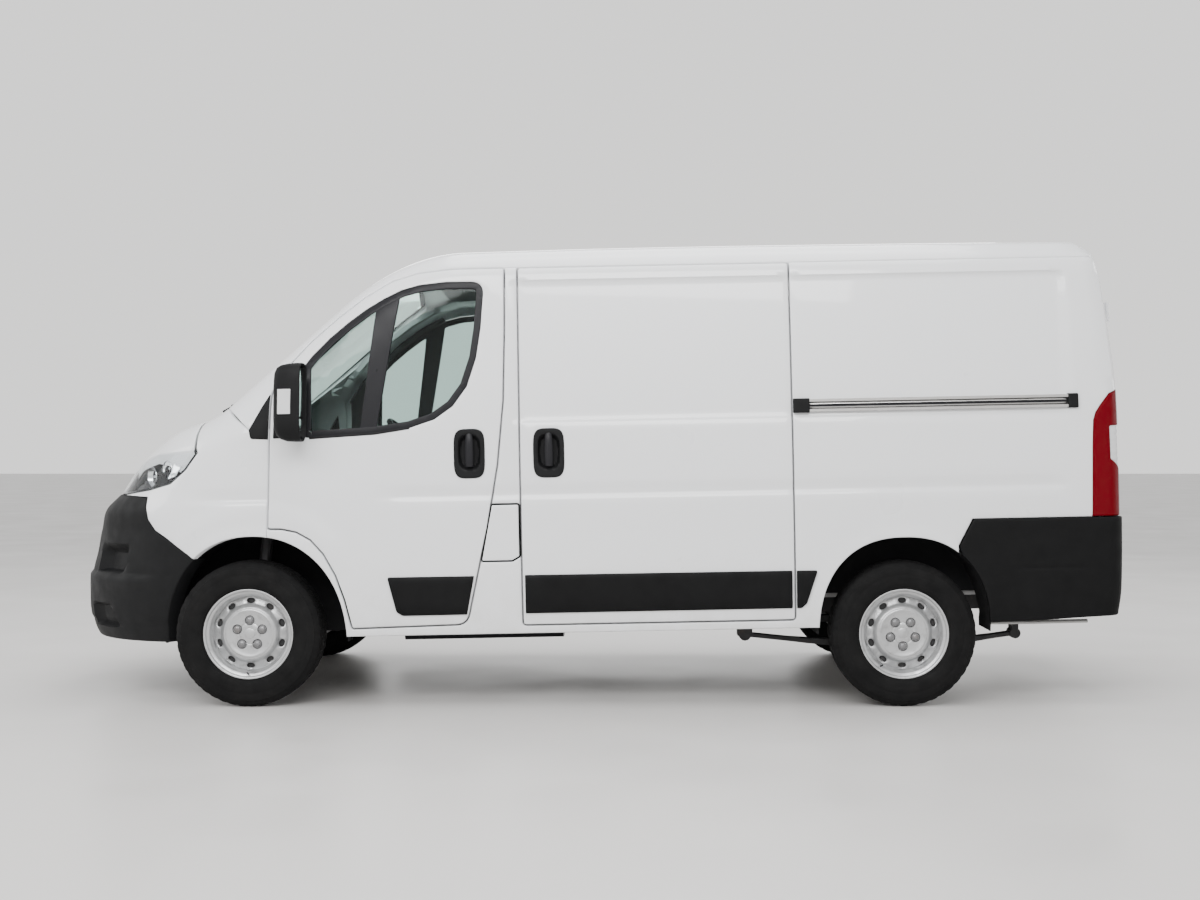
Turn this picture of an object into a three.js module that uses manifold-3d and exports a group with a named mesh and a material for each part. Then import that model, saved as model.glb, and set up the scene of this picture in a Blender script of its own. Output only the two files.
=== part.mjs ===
// Panel van: short wheelbase, low roof, one side-loading door on the left, twin rear doors.
//
// Body frame, in millimetres: x runs rearwards from the front axle, y to the van's right, z up from the
// ground at the front axle. The finished body is then tipped nose-down by the rake that an unladen van
// stands at, while the wheels, the rear axle and its springs stay square to the ground.
//
// Every outer panel is cut from one smooth outer surface, so neighbours always line up: bodySolid() makes
// that surface, or one set further in, and each panel is the material between two of them inside an outline.

import * as THREE from "three";
import { mergeVertices } from "three/addons/utils/BufferGeometryUtils.js";
import Module from "manifold-3d";

const wasm = await Module();
wasm.setup();

// ---------------------------------------------------------------------------------------------------
// Driving dimensions
// ---------------------------------------------------------------------------------------------------

const WHEELBASE = 3000;
const FRONT_OVERHANG = 948;
const BODY_HALF_WIDTH = 1025;
const ROOF_EDGE_Z = 2080; // height of the roof where its side rounding begins
const ROOF_CROWN = 60; // how much higher the roof is along its centre line
const FLOOR_TOP = 470;
const FLOOR_LINING = 5; // board on the load floor between the wheel boxes
const FLOOR_THICKNESS = 45;
const SILL_BOTTOM = 312;
const RAKE_DEG = 1.1;

const WALL = 85; // side wall, outer skin to inner lining
const ROOF_WALL = 55;
const DOOR_WALL = 60;
const SHUT_GAP = 8; // round every door, lid and flap
const SEAM_GAP = 1; // between fixed panels
const GLASS_INSET = 6; // glass below the outer surface
const GLASS_THICKNESS = 5;

const TYRE_RADIUS = 336;
const TYRE_HALF_WIDTH = 107;
const RIM_RADIUS = 191;
const BEAD_HALF_WIDTH = 80; // between the rim's flanges
const FLANGE_HALF_WIDTH = 86;
const HUB_DEPTH = 38;
const FRONT_TRACK = 1810;
const REAR_TRACK = 1790;
const WHEEL_SIDES = 24; // the tyre stands on one of its flats
const AXLE_Z = TYRE_RADIUS * Math.cos(Math.PI / WHEEL_SIDES);

const LOAD_DOOR_FRONT = 1262;
const LOAD_DOOR_REAR = 2500;
const REAR_DOOR_EDGE = 800; // half the rear opening's width
const REAR_DOOR_TOP = 1985;
const WAIST_SEAM_Z = 1991; // roof panel meets the sides
const HINGE_PROUD = 27; // rear door hinge pins stand this far behind the doors

const FAR = 1400; // further out than any part of the body

// ---------------------------------------------------------------------------------------------------
// Small tools
// ---------------------------------------------------------------------------------------------------

/** A smooth curve through [at, value] points: a cubic with centred slopes, straight past both ends. */
function curve(points) {
  const slope = points.map((_, i) => {
    const a = points[Math.max(i - 1, 0)];
    const b = points[Math.min(i + 1, points.length - 1)];
    return (b[1] - a[1]) / (b[0] - a[0]);
  });
  return (at) => {
    const last = points.length - 1;
    if (at <= points[0][0]) return points[0][1] + slope[0] * (at - points[0][0]);
    if (at >= points[last][0]) return points[last][1] + slope[last] * (at - points[last][0]);
    let i = 0;
    while (at > points[i + 1][0]) i += 1;
    const width = points[i + 1][0] - points[i][0];
    const t = (at - points[i][0]) / width;
    const rise = points[i + 1][1] - points[i][1];
    return (
      points[i][1] +
      t * t * (3 - 2 * t) * rise +
      width * t * (1 - t) * (slope[i] * (1 - t) - slope[i + 1] * t)
    );
  };
}

const smoothMin = (a, b, k) => Math.min(a, b) - Math.max(k - Math.abs(a - b), 0) ** 2 / (4 * k);
const smoothMax = (a, b, k) => -smoothMin(-a, -b, k);

/** A closed BufferGeometry as a manifold-3d solid. */
function solid(geometry) {
  const bare = new THREE.BufferGeometry().setAttribute("position", geometry.getAttribute("position"));
  if (geometry.index) bare.setIndex(geometry.index);
  const merged = mergeVertices(bare, 1e-3);
  return new wasm.Manifold(
    new wasm.Mesh({
      numProp: 3,
      vertProperties: Float32Array.from(merged.attributes.position.array),
      triVerts: Uint32Array.from(merged.index.array),
    }),
  );
}

/** A manifold-3d solid as a BufferGeometry. */
function geometryOf(made) {
  const mesh = made.getMesh();
  const geometry = new THREE.BufferGeometry();
  geometry.setAttribute("position", new THREE.BufferAttribute(Float32Array.from(mesh.vertProperties), 3));
  geometry.setIndex(new THREE.BufferAttribute(Uint32Array.from(mesh.triVerts), 1));
  geometry.computeVertexNormals();
  return geometry;
}

const union = (...parts) => parts.reduce((a, b) => a.add(b));

/** The largest body of a cut solid: the crumbs that a cut leaves beyond a seam are dropped. */
function largest(made) {
  return made.decompose().reduce((a, b) => (a.volume() > b.volume() ? a : b));
}

/** A 2-D outline extruded along an axis between two places. Outlines for "y" are [x, z], for "x" [y, z], for "z" [x, y]. */
function prism(outline, axis, from, to) {
  const shape = new THREE.Shape(outline.map(([u, v]) => new THREE.Vector2(u, v)));
  const geometry = new THREE.ExtrudeGeometry(shape, { depth: to - from, bevelEnabled: false });
  geometry.translate(0, 0, from);
  if (axis === "y") geometry.applyMatrix4(new THREE.Matrix4().set(1, 0, 0, 0, 0, 0, -1, 0, 0, 1, 0, 0, 0, 0, 0, 1));
  if (axis === "y") geometry.translate(0, from + to, 0);
  if (axis === "x") geometry.applyMatrix4(new THREE.Matrix4().set(0, 0, 1, 0, 1, 0, 0, 0, 0, 1, 0, 0, 0, 0, 0, 1));
  return solid(geometry);
}

/** An axis-aligned box between two corners. */
function box(low, high) {
  const geometry = new THREE.BoxGeometry(high[0] - low[0], high[1] - low[1], high[2] - low[2]);
  geometry.translate((low[0] + high[0]) / 2, (low[1] + high[1]) / 2, (low[2] + high[2]) / 2);
  return solid(geometry);
}

/** A round bar between two points. */
function rod(from, to, radius, sides = 12) {
  const a = new THREE.Vector3(...from);
  const b = new THREE.Vector3(...to);
  const geometry = new THREE.CylinderGeometry(radius, radius, a.distanceTo(b), sides);
  const along = b.clone().sub(a).normalize();
  geometry.applyQuaternion(new THREE.Quaternion().setFromUnitVectors(new THREE.Vector3(0, 1, 0), along));
  geometry.translate(...a.add(b).multiplyScalar(0.5).toArray());
  return solid(geometry);
}

/** A profile of [radius, y] points, turned about the Y axis. A closed loop of points makes a ring. */
function turned(profile, sides) {
  const points = profile.map(([r, y]) => new THREE.Vector2(r, y));
  return solid(new THREE.LatheGeometry(points, sides).rotateY(Math.PI / sides));
}

/** The outline moved outwards by a distance, or inwards where it is negative. */
function grown(outline, distance) {
  const turn = Math.sign(THREE.ShapeUtils.area(outline.map(([u, v]) => new THREE.Vector2(u, v))));
  const count = outline.length;
  return outline.map(([u, v], i) => {
    const [pu, pv] = outline[(i + count - 1) % count];
    const [nu, nv] = outline[(i + 1) % count];
    const before = Math.hypot(u - pu, v - pv);
    const after = Math.hypot(nu - u, nv - v);
    const n1 = [((v - pv) / before) * turn, (-(u - pu) / before) * turn];
    const n2 = [((nv - v) / after) * turn, (-(nu - u) / after) * turn];
    const scale = distance / (1 + n1[0] * n2[0] + n1[1] * n2[1]);
    return [u + (n1[0] + n2[0]) * scale, v + (n1[1] + n2[1]) * scale];
  });
}

/** Points [u, v, radius]: corners with a radius become arcs of a few steps. */
function rounded(points, steps = 4) {
  const count = points.length;
  return points.flatMap(([u, v, radius = 0], i) => {
    if (!radius) return [[u, v]];
    const here = new THREE.Vector2(u, v);
    const before = new THREE.Vector2(...points[(i + count - 1) % count].slice(0, 2)).sub(here).normalize();
    const after = new THREE.Vector2(...points[(i + 1) % count].slice(0, 2)).sub(here).normalize();
    const half = Math.acos(THREE.MathUtils.clamp(before.dot(after), -1, 1)) / 2;
    const reach = radius / Math.tan(half);
    const bend = new THREE.QuadraticBezierCurve(
      here.clone().addScaledVector(before, reach),
      here,
      here.clone().addScaledVector(after, reach),
    );
    return bend.getPoints(steps).map((p) => [p.x, p.y]);
  });
}

/** A wheel arch in [x, z]: a squared-off half oval on straight legs that run down past the sill. */
function archOutline({ x, z, halfWidth, height, power }, extra = 0, steps = 18) {
  const points = [];
  for (let i = 0; i <= steps; i += 1) {
    const angle = (Math.PI * i) / steps;
    const c = Math.cos(angle);
    const across = Math.sign(c) * Math.abs(c) ** (2 / power);
    const up = Math.abs(Math.sin(angle)) ** (2 / power);
    points.push([x - across * (halfWidth + extra), z + up * (height + extra)]);
  }
  return [[x - halfWidth - extra, -200], ...points, [x + halfWidth + extra, -200]];
}

const mirrorY = (made) => made.mirror([0, 1, 0]);

// ---------------------------------------------------------------------------------------------------
// The outer surface
// ---------------------------------------------------------------------------------------------------

const halfWidthAt = curve([
  [250, BODY_HALF_WIDTH - 50],
  [400, BODY_HALF_WIDTH - 22],
  [600, BODY_HALF_WIDTH - 7],
  [900, BODY_HALF_WIDTH],
  [1280, BODY_HALF_WIDTH - 7],
  [1600, BODY_HALF_WIDTH - 25],
  [1990, BODY_HALF_WIDTH - 61],
  [2150, BODY_HALF_WIDTH - 85],
]);

// How far the nose reaches on the centre line at each height, as a share of the front overhang.
const noseReachAt = curve([
  [230, 0.886],
  [300, 0.965],
  [400, 0.997],
  [500, 1],
  [600, 0.994],
  [700, 0.965],
  [800, 0.943],
  [900, 0.913],
  [985, 0.82],
  [1100, 0.755],
  [1200, 0.675],
  [1400, 0.506],
  [1700, 0.264],
  [2100, -0.053],
]);
const NOSE_POWER = 2.6; // roundness of the nose in plan
const NOSE_START = 150; // the sides run straight behind this
const NOSE_START_LEAN = 1.4; // the taper of the cab starts further back, higher up
const WAIST_Z = 1250;

const bonnetEdgeAt = curve([
  [-800, 960],
  [-700, 1050],
  [-600, 1130],
  [-533, 1173],
  [-449, 1222],
  [-374, 1255],
  [-281, 1284],
  [-200, 1310],
  [0, 1385],
]);
const BONNET_CROWN = 55;
const SCREEN_EDGE = { x: 7, z: 1463, slope: 0.85, crown: 105 };
const CROWN_HALF_WIDTH = 850;
const roofEdgeAt = curve([
  [700, ROOF_EDGE_Z - 10],
  [1170, ROOF_EDGE_Z - 5],
  [1640, ROOF_EDGE_Z],
  [2520, ROOF_EDGE_Z],
  [3800, ROOF_EDGE_Z - 10],
  [3960, ROOF_EDGE_Z - 18],
]);
const rearFaceAt = curve([
  [300, 988],
  [700, 995],
  [1396, 991],
  [1625, 971],
  [1832, 946],
  [2015, 920],
  [2150, 903],
]); // behind the rear axle
const REAR_CROWN = 14;

const HEADER_BLEND = 250; // windscreen into roof
const COWL_BLEND = 30; // bonnet into windscreen
const SHOULDER_BLEND = 140; // sides into roof
const REAR_BLEND = 62;

/** Height of the bonnet, windscreen and roof as one surface. */
function topAt(x, y) {
  const across = 1 - (y / CROWN_HALF_WIDTH) ** 2;
  const bonnet = bonnetEdgeAt(x) + BONNET_CROWN * across;
  const screen = SCREEN_EDGE.z + SCREEN_EDGE.slope * (x - SCREEN_EDGE.x) + SCREEN_EDGE.crown * across;
  const roof = roofEdgeAt(x) + ROOF_CROWN * across;
  return smoothMin(smoothMax(bonnet, screen, COWL_BLEND), roof, HEADER_BLEND);
}

/** About how far a point is outside the sides and the rounded nose. Negative is inside. */
function outsideSides(x, y, z, inset) {
  const width = halfWidthAt(z) - inset;
  const start = NOSE_START + NOSE_START_LEAN * Math.max(z - WAIST_Z, 0);
  if (x >= start) return Math.abs(y) - width;
  const reach = start + FRONT_OVERHANG * noseReachAt(z) - inset;
  const u = (start - x) / reach;
  const v = Math.abs(y) / width;
  const g = (u ** NOSE_POWER + v ** NOSE_POWER) ** (1 / NOSE_POWER);
  const steepness = Math.hypot(u ** (NOSE_POWER - 1) / reach, v ** (NOSE_POWER - 1) / width);
  return ((g - 1) * g ** (NOSE_POWER - 1)) / steepness;
}

/** About how far a point is outside the body, with the sides, top and rear each set in by their walls. */
function outsideBody(x, y, z, { side, top, rear }) {
  const slope = (topAt(x + 5, y) - topAt(x - 5, y)) / 10;
  const above = (z - topAt(x, y)) / Math.hypot(1, slope) + top;
  const behind = x - (WHEELBASE + rearFaceAt(z) + REAR_CROWN * (1 - (y / BODY_HALF_WIDTH) ** 2)) + rear;
  const round = smoothMax(outsideSides(x, y, z, side), above, SHOULDER_BLEND);
  return smoothMax(round, behind, REAR_BLEND);
}

// The surface is sampled by rays from a line along the middle of the van, fanned out over both ends.
const SPINE_FRONT = -180;
const SPINE_REAR = 3560;
const spineZAt = curve([
  [-300, 830],
  [0, 900],
  [600, 1150],
  [1200, 1230],
  [3600, 1230],
]);
const NOSE_FAN = [0, 18, 34, 46, 57, 68, 79];
const SPINE_STOPS = [-180, -90, 20, 170, 350, 540, 740, 960, 1400, 2400, 3560];
const TAIL_FAN = [75, 69, 64, 52, 30, 0];
const RAY_ANGLES = [-90, -60, -42, -28, -8, 8, 22, 33, 39, 44, 51, 63, 78, 90];
const BOTTOM_Z = 150; // panels are trimmed above this

/** The body's outer surface as a closed solid, or one inside it where insets are given. */
function bodySolid(insets, bottom = BOTTOM_Z) {
  const rings = [
    ...NOSE_FAN.map((a) => ({ x: SPINE_FRONT, lean: -Math.cos((a * Math.PI) / 180), out: Math.sin((a * Math.PI) / 180) })),
    ...SPINE_STOPS.map((x) => ({ x, lean: 0, out: 1 })),
    ...TAIL_FAN.map((a) => ({ x: SPINE_REAR, lean: Math.cos((a * Math.PI) / 180), out: Math.sin((a * Math.PI) / 180) })),
  ];
  const angles = [...RAY_ANGLES, ...RAY_ANGLES.slice(1, -1).reverse().map((a) => 180 - a)];
  const positions = [];
  for (const ring of rings) {
    const from = [ring.x, 0, spineZAt(ring.x)];
    for (const angle of angles) {
      const a = (angle * Math.PI) / 180;
      const way = [ring.lean, ring.out * Math.cos(a), ring.out * Math.sin(a)];
      let near = 0;
      let far = 3000;
      for (let i = 0; i < 40; i += 1) {
        const mid = (near + far) / 2;
        const [x, y, z] = from.map((c, k) => c + way[k] * mid);
        if (Math.max(outsideBody(x, y, z, insets), bottom - z) < 0) near = mid;
        else far = mid;
      }
      positions.push(...from.map((c, k) => c + way[k] * near));
    }
  }
  const around = angles.length;
  const faces = [];
  for (let i = 0; i < rings.length - 1; i += 1) {
    for (let j = 0; j < around; j += 1) {
      const a = i * around + j;
      const b = i * around + ((j + 1) % around);
      faces.push(a, b, b + around, a, b + around, a + around);
    }
  }
  const geometry = new THREE.BufferGeometry();
  geometry.setAttribute("position", new THREE.BufferAttribute(Float32Array.from(positions), 3));
  geometry.setIndex(faces);
  return solid(geometry);
}

const inset = (side, top = side, rear = side) => ({ side, top, rear });
const outer = bodySolid(inset(0));
const lining = bodySolid(inset(WALL, ROOF_WALL, WALL), -FAR);
const doorLining = bodySolid(inset(DOOR_WALL), -FAR);
const shell = outer.subtract(lining);
const doorShell = outer.subtract(doorLining);
const FIT = 14; // what stands between the linings keeps this far off them
const room = bodySolid(inset(WALL + FIT, ROOF_WALL + FIT, WALL + FIT), -FAR);

// ---------------------------------------------------------------------------------------------------
// Outlines of the panels
// ---------------------------------------------------------------------------------------------------

const FRONT_ARCH = { x: 30, z: 290, halfWidth: 420, height: 490, power: 2.15 };
const REAR_ARCH = { x: WHEELBASE + 3, z: 280, halfWidth: 390, height: 440, power: 2.3 };

const DOOR_FRONT = 109;
const DOOR_REAR_TOP = 1196;
const doorOutline = rounded([
  [DOOR_FRONT, 817, 8],
  [121, 1219],
  [131, 1435, 60],
  [209, 1569],
  [296, 1666],
  [421, 1773],
  [548, 1866],
  [675, 1938],
  [802, 1972],
  [969, 1986],
  [DOOR_REAR_TOP, 1986, 14],
  [1193, 1701],
  [1183, 1381],
  [1152, 1085],
  [1101, 802],
  [1000, 362, 60],
  [479, 352, 10],
  [450, 481],
  [411, 596],
  [358, 697],
  [300, 763],
  [236, 800],
  [168, 815],
]);
const windowOutline = rounded([
  [281, 1226, 12],
  [592, 1240],
  [755, 1262],
  [870, 1299],
  [955, 1358],
  [1020, 1446],
  [1064, 1576],
  [1086, 1713],
  [1104, 1924, 55],
  [932, 1926],
  [809, 1915],
  [727, 1894],
  [645, 1856],
  [562, 1808],
  [479, 1749],
  [396, 1681],
  [313, 1598],
  [278, 1552, 10],
]);
const loadDoorOutline = rounded([
  [LOAD_DOOR_FRONT, 354, 14],
  [LOAD_DOOR_FRONT, 1986, 14],
  [LOAD_DOOR_REAR, 1986, 14],
  [LOAD_DOOR_REAR, 354, 14],
]);
const FLAP_HINGE_X = 1247;
const FLAP_POCKET = 40;
const FLAP_THICKNESS = 12;
const flapOutline = rounded([
  [1128, 902, 6],
  [FLAP_HINGE_X, 902, 6],
  [FLAP_HINGE_X, 668, 8],
  [1215, 650, 6],
  [1078, 650, 6],
]);
const bumperEdge = [
  [-FAR, 972],
  [-640, 970],
  [-487, 964],
  [-488, 916],
  [-474, 861],
  [-435, 810],
  [-383, 778],
  [-309, 727],
];
// The lamp's upper edge is also the bonnet's side edge, from the tip of the lamp to the nose.
const lampTop = [
  [-232, 1182],
  [-449, 1165],
  [-582, 1122],
  [-640, 1088],
  [-690, 1062],
  [-FAR, 1058],
];
const headlampOutline = [
  ...lampTop,
  [-FAR, 976],
  [-640, 975],
  [-478, 998],
  [-364, 1026],
  [-285, 1089],
  [-226, 1166],
];
const HEADLAMP_INNER_Y = 470;
const tailLampOutline = rounded([
  [WHEELBASE + 875, 800],
  [WHEELBASE + 886, 1238],
  [WHEELBASE + 919, 1306],
  [WHEELBASE + 956, 1356],
  [WHEELBASE + 1010, 1405],
  [WHEELBASE + 1200, 1405],
  [WHEELBASE + 1200, 800],
]);
const TAIL_LAMP_INNER_Y = 880;
const claddingOutline = [
  ...archOutline(REAR_ARCH)
    .filter(([x, z]) => x > WHEELBASE + 220 && z > 320)
    .reverse(),
  [WHEELBASE + 319, 796],
  [WHEELBASE + 1300, 797],
  [WHEELBASE + 1300, 330],
  [WHEELBASE + 700, 330],
  [WHEELBASE + 396, 322],
];

// In plan, [x, y]: half outlines for the bonnet's edge and the windscreen, mirrored about y = 0.
const bothSides = (half) => [...half, ...half.map(([x, y]) => [x, -y]).reverse()];
const BONNET_SIDE_REAR = -241;
const bonnetPlan = bothSides([
  [-FAR, 1100],
  [BONNET_SIDE_REAR, 1100],
  [BONNET_SIDE_REAR - 4, 768],
  [-260, 600],
  [-290, 320],
  [-300, 150],
]);
const bonnetSide = [...lampTop, [-FAR, 1700], [BONNET_SIDE_REAR, 1700]];
const cowlPlan = bothSides([
  [-291, 150],
  [-281, 320],
  [-251, 600],
  [-236, 768],
  [-130, 768],
  [-197, 620],
  [-242, 400],
  [-264, 150],
]);
const screenPlan = bothSides([
  [-262, 150],
  [-240, 400],
  [-195, 620],
  [-128, 764],
  [-60, 786],
  [250, 798],
  [560, 775],
  [640, 740],
  [668, 400],
  [680, 150],
]);
const PILLAR_FOOT = [
  [-124, 1371],
  [26, 1266],
]; // the wing's upper edge, in front of the windscreen pillar

// ---------------------------------------------------------------------------------------------------
// Body panels
// ---------------------------------------------------------------------------------------------------

const left = { from: -FAR, to: -300 };
const leftPrism = (outline) => prism(outline, "y", left.from, left.to);
const throughPrism = (outline) => prism(outline, "y", -FAR, FAR);
const frontArch = throughPrism(archOutline(FRONT_ARCH));
const rearArch = throughPrism(archOutline(REAR_ARCH));
const bonnetCut = (extra) =>
  prism(grown(bonnetPlan, extra), "z", 900, 1600).intersect(throughPrism(grown(bonnetSide, extra)));
const cowlCut = (extra) => prism(grown(cowlPlan, extra), "z", 1100, 1600);
const screenCut = (extra) => prism(grown(screenPlan, extra), "z", 1100, 2300);
const doorCut = (extra) => leftPrism(grown(doorOutline, extra));
const loadDoorCut = (extra) => leftPrism(grown(loadDoorOutline, extra));
const flapCut = (extra) => leftPrism(grown(flapOutline, extra));
const headlampCut = (extra) =>
  prism(grown(headlampOutline, extra), "y", -FAR, -HEADLAMP_INNER_Y + extra);
const tailLampCut = (extra) => prism(grown(tailLampOutline, extra), "y", -FAR, -TAIL_LAMP_INNER_Y + extra);
const claddingCut = (extra) => prism(grown(claddingOutline, extra), "y", -FAR, -REAR_DOOR_EDGE - 6 + extra);

const bumperCut = (extra) =>
  throughPrism(grown([...bumperEdge, [-300, -200], [-FAR, -200]], extra));

/** The rear doors' shared outline from behind, [y, z]. */
const REAR_DOOR_BOTTOM = 474;
function rearDoorOutline(innerY) {
  return rounded([
    [-REAR_DOOR_EDGE, REAR_DOOR_BOTTOM, 12],
    [-REAR_DOOR_EDGE, REAR_DOOR_TOP, 90],
    [innerY, REAR_DOOR_TOP],
    [innerY, REAR_DOOR_BOTTOM],
  ]);
}
const rearOpening = prism(
  grown([...rearDoorOutline(0).slice(0, -2), ...rearDoorOutline(0).slice(0, -2).map(([y, z]) => [-y, z]).reverse()], SHUT_GAP),
  "x",
  WHEELBASE + 700,
  WHEELBASE + FAR,
);

/** The roof with the windscreen pillars: what is left above the doors and beside the windscreen. */
const roofZone = (extra) =>
  throughPrism(
    grown(
      [
        [-400, PILLAR_FOOT[0][1] + 5],
        ...PILLAR_FOOT,
        [DOOR_FRONT + 31, PILLAR_FOOT[1][1]],
        [DOOR_REAR_TOP - 16, 1800],
        [DOOR_REAR_TOP - 16, WAIST_SEAM_Z],
        [WHEELBASE + FAR, WAIST_SEAM_Z],
        [WHEELBASE + FAR, 2600],
        [-400, 2600],
      ],
      extra,
    ),
  );

/** A shallow pocket in the side for a flap to lie in. */
const flapPocket = flapCut(SHUT_GAP).subtract(bodySolid(inset(FLAP_POCKET), -FAR));

function frontPanels() {
  const nose = shell.intersect(box([-FAR, -FAR, 0], [DOOR_FRONT - SHUT_GAP, 0, FAR]));
  const fender = largest(
    nose
      .subtract(bumperCut(SEAM_GAP))
      .subtract(frontArch)
      .subtract(bonnetCut(SHUT_GAP))
      .subtract(headlampCut(SEAM_GAP))
      .subtract(screenCut(SEAM_GAP))
      .subtract(cowlCut(SEAM_GAP))
      .subtract(box([-FAR, -HEADLAMP_INNER_Y, 0], [0, FAR, FAR]))
      .subtract(roofZone(SEAM_GAP)),
  );
  const bumperBody = shell
    .intersect(bumperCut(0))
    .subtract(frontArch)
    .subtract(box([-FAR, -FAR, 0], [0, FAR, 292]))
    .intersect(box([-FAR, -FAR, 0], [-250, FAR, 972]));
  const grilleOpening = prism(
    rounded([[-430, 690, 20], [430, 690, 20], [480, 950, 20], [-480, 950, 20]]),
    "x",
    -FAR,
    -500,
  );
  const lowerOpening = prism(rounded([[-420, 390, 20], [420, 390, 20], [440, 520, 20], [-440, 520, 20]]), "x", -FAR, -500);
  const grille = largest(
    doorShell
      .intersect(prism(rounded([[-428, 692, 20], [428, 692, 20], [478, 948, 20], [-478, 948, 20]]), "x", -FAR, -700)),
  );
  const upperPanel = shell
    .intersect(box([-FAR, -HEADLAMP_INNER_Y + SEAM_GAP, 0], [-500, HEADLAMP_INNER_Y - SEAM_GAP, FAR]))
    .subtract(bumperCut(SEAM_GAP))
    .subtract(bonnetCut(SHUT_GAP));
  return {
    fender_left: fender,
    fender_right: mirrorY(fender),
    front_bumper: largest(bumperBody.subtract(grilleOpening).subtract(lowerOpening)),
    grille,
    nose_panel: largest(upperPanel),
    headlamp_left: largest(doorShell.intersect(headlampCut(0)).subtract(bonnetCut(SHUT_GAP))),
    bonnet: largest(
      outer
        .subtract(bodySolid(inset(35), -FAR))
        .intersect(bonnetCut(0))
        .subtract(headlampCut(SHUT_GAP))
        .subtract(mirrorY(headlampCut(SHUT_GAP))),
    ),
  };
}

/** One body side below the roof seam: sill, door pillar and rear quarter, with the given holes. */
function sidePanel(...holes) {
  const region = box([DOOR_FRONT - SHUT_GAP + SEAM_GAP, -FAR, SILL_BOTTOM], [WHEELBASE + FAR, -300, FAR * 2]);
  const cuts = [
    doorCut(SHUT_GAP),
    roofZone(SEAM_GAP),
    frontArch,
    rearArch,
    rearOpening,
    tailLampCut(SEAM_GAP),
    claddingCut(SEAM_GAP),
  ];
  return largest([...cuts, ...holes].reduce((made, cut) => made.subtract(cut), shell.intersect(region)));
}

function roofPanel() {
  const cuts = [doorCut(SHUT_GAP), mirrorY(doorCut(SHUT_GAP)), screenCut(SEAM_GAP), cowlCut(SEAM_GAP), rearOpening];
  return largest(cuts.reduce((made, cut) => made.subtract(cut), shell.intersect(roofZone(0))));
}

/** Left rear door: a flanged outer skin with its box set back where the two doors meet. */
function rearDoor() {
  const between = (thickness, innerY) =>
    outer
      .subtract(bodySolid(inset(thickness), -FAR))
      .intersect(prism(rearDoorOutline(innerY), "x", WHEELBASE + 700, WHEELBASE + FAR));
  return largest(between(12, -SHUT_GAP / 2).add(between(50, -SHUT_GAP / 2 - 14)));
}

function rearBumper() {
  const proud = bodySolid(inset(-12, 0, -18), 200);
  const corner = largest(proud.subtract(lining).intersect(claddingCut(0)).subtract(rearArch));
  const step = proud.intersect(
    box(
      [WHEELBASE + 910, -REAR_DOOR_EDGE - 60, 345],
      [WHEELBASE + FAR, REAR_DOOR_EDGE + 60, REAR_DOOR_BOTTOM - SHUT_GAP],
    ),
  );
  return largest(union(corner, mirrorY(corner), step));
}

function glass(outline, axis, from, to) {
  const skin = bodySolid(inset(GLASS_INSET)).subtract(bodySolid(inset(GLASS_INSET + GLASS_THICKNESS), -FAR));
  return largest(skin.intersect(prism(grown(outline, -SEAM_GAP), axis, from, to)));
}

// ---------------------------------------------------------------------------------------------------
// Structure, cab and running gear
// ---------------------------------------------------------------------------------------------------

const WHEELHOUSE_INNER_Y = 711;
const LINER_INNER_Y = 590;
const LINER_WALL = 8;
const INNER_HALF_WIDTH = 914;

/** Floor with the two rear wheel boxes that stand up into the load space. */
function floorPan() {
  const slab = box([150, -INNER_HALF_WIDTH, FLOOR_TOP - FLOOR_THICKNESS], [WHEELBASE + 880, INNER_HALF_WIDTH, FLOOR_TOP]);
  const liningEdge = WHEELHOUSE_INNER_Y - 15;
  const lining = box(
    [LOAD_DOOR_FRONT, -liningEdge, FLOOR_TOP - 1],
    [WHEELBASE + 860, liningEdge, FLOOR_TOP + FLOOR_LINING],
  );
  const outerBox = prism(archOutline(REAR_ARCH, 30), "y", WHEELHOUSE_INNER_Y, INNER_HALF_WIDTH);
  const innerBox = prism(archOutline(REAR_ARCH, 22), "y", WHEELHOUSE_INNER_Y + LINER_WALL, FAR);
  const above = box([-FAR, -FAR, FLOOR_TOP - FLOOR_THICKNESS], [WHEELBASE + FAR, FAR, FAR]);
  const cab = prism(archOutline(FRONT_ARCH, 20), "y", LINER_INNER_Y - LINER_WALL - 4, FAR);
  const house = outerBox.intersect(above);
  return union(slab, lining, house, mirrorY(house))
    .intersect(room)
    .subtract(claddingCut(FIT))
    .subtract(mirrorY(claddingCut(FIT)))
    .subtract(innerBox)
    .subtract(mirrorY(innerBox))
    .subtract(cab)
    .subtract(mirrorY(cab));
}

/** Bulkhead in front of the cab with the front wheel liners on it. */
function frontStructure() {
  const firewall = box([104, -LINER_INNER_Y - 200, RAIL_TOP + SEAM_GAP], [118, LINER_INNER_Y + 200, 1172]);
  const outerArch = prism(archOutline(FRONT_ARCH, 16), "y", LINER_INNER_Y - LINER_WALL, INNER_HALF_WIDTH);
  const innerArch = prism(archOutline(FRONT_ARCH, 8), "y", LINER_INNER_Y, FAR);
  const liner = outerArch.intersect(box([-FAR, 0, 300], [FAR, FAR, FAR]));
  return union(firewall, liner, mirrorY(liner)).intersect(room).subtract(innerArch).subtract(mirrorY(innerArch));
}

function loadBulkhead() {
  return room.intersect(box([LOAD_DOOR_FRONT - 40, -FAR, FLOOR_TOP + 1], [LOAD_DOOR_FRONT - 15, FAR, FAR + FAR]));
}

function dashboard() {
  const profile = [
    [-120, 1180],
    [126, 1180],
    [126, 814],
    [300, 814],
    [430, 1060],
    [440, 1180],
    [330, 1256],
    [-95, 1262],
  ];
  return largest(room.intersect(prism(profile, "y", -880, 880)));
}

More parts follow.
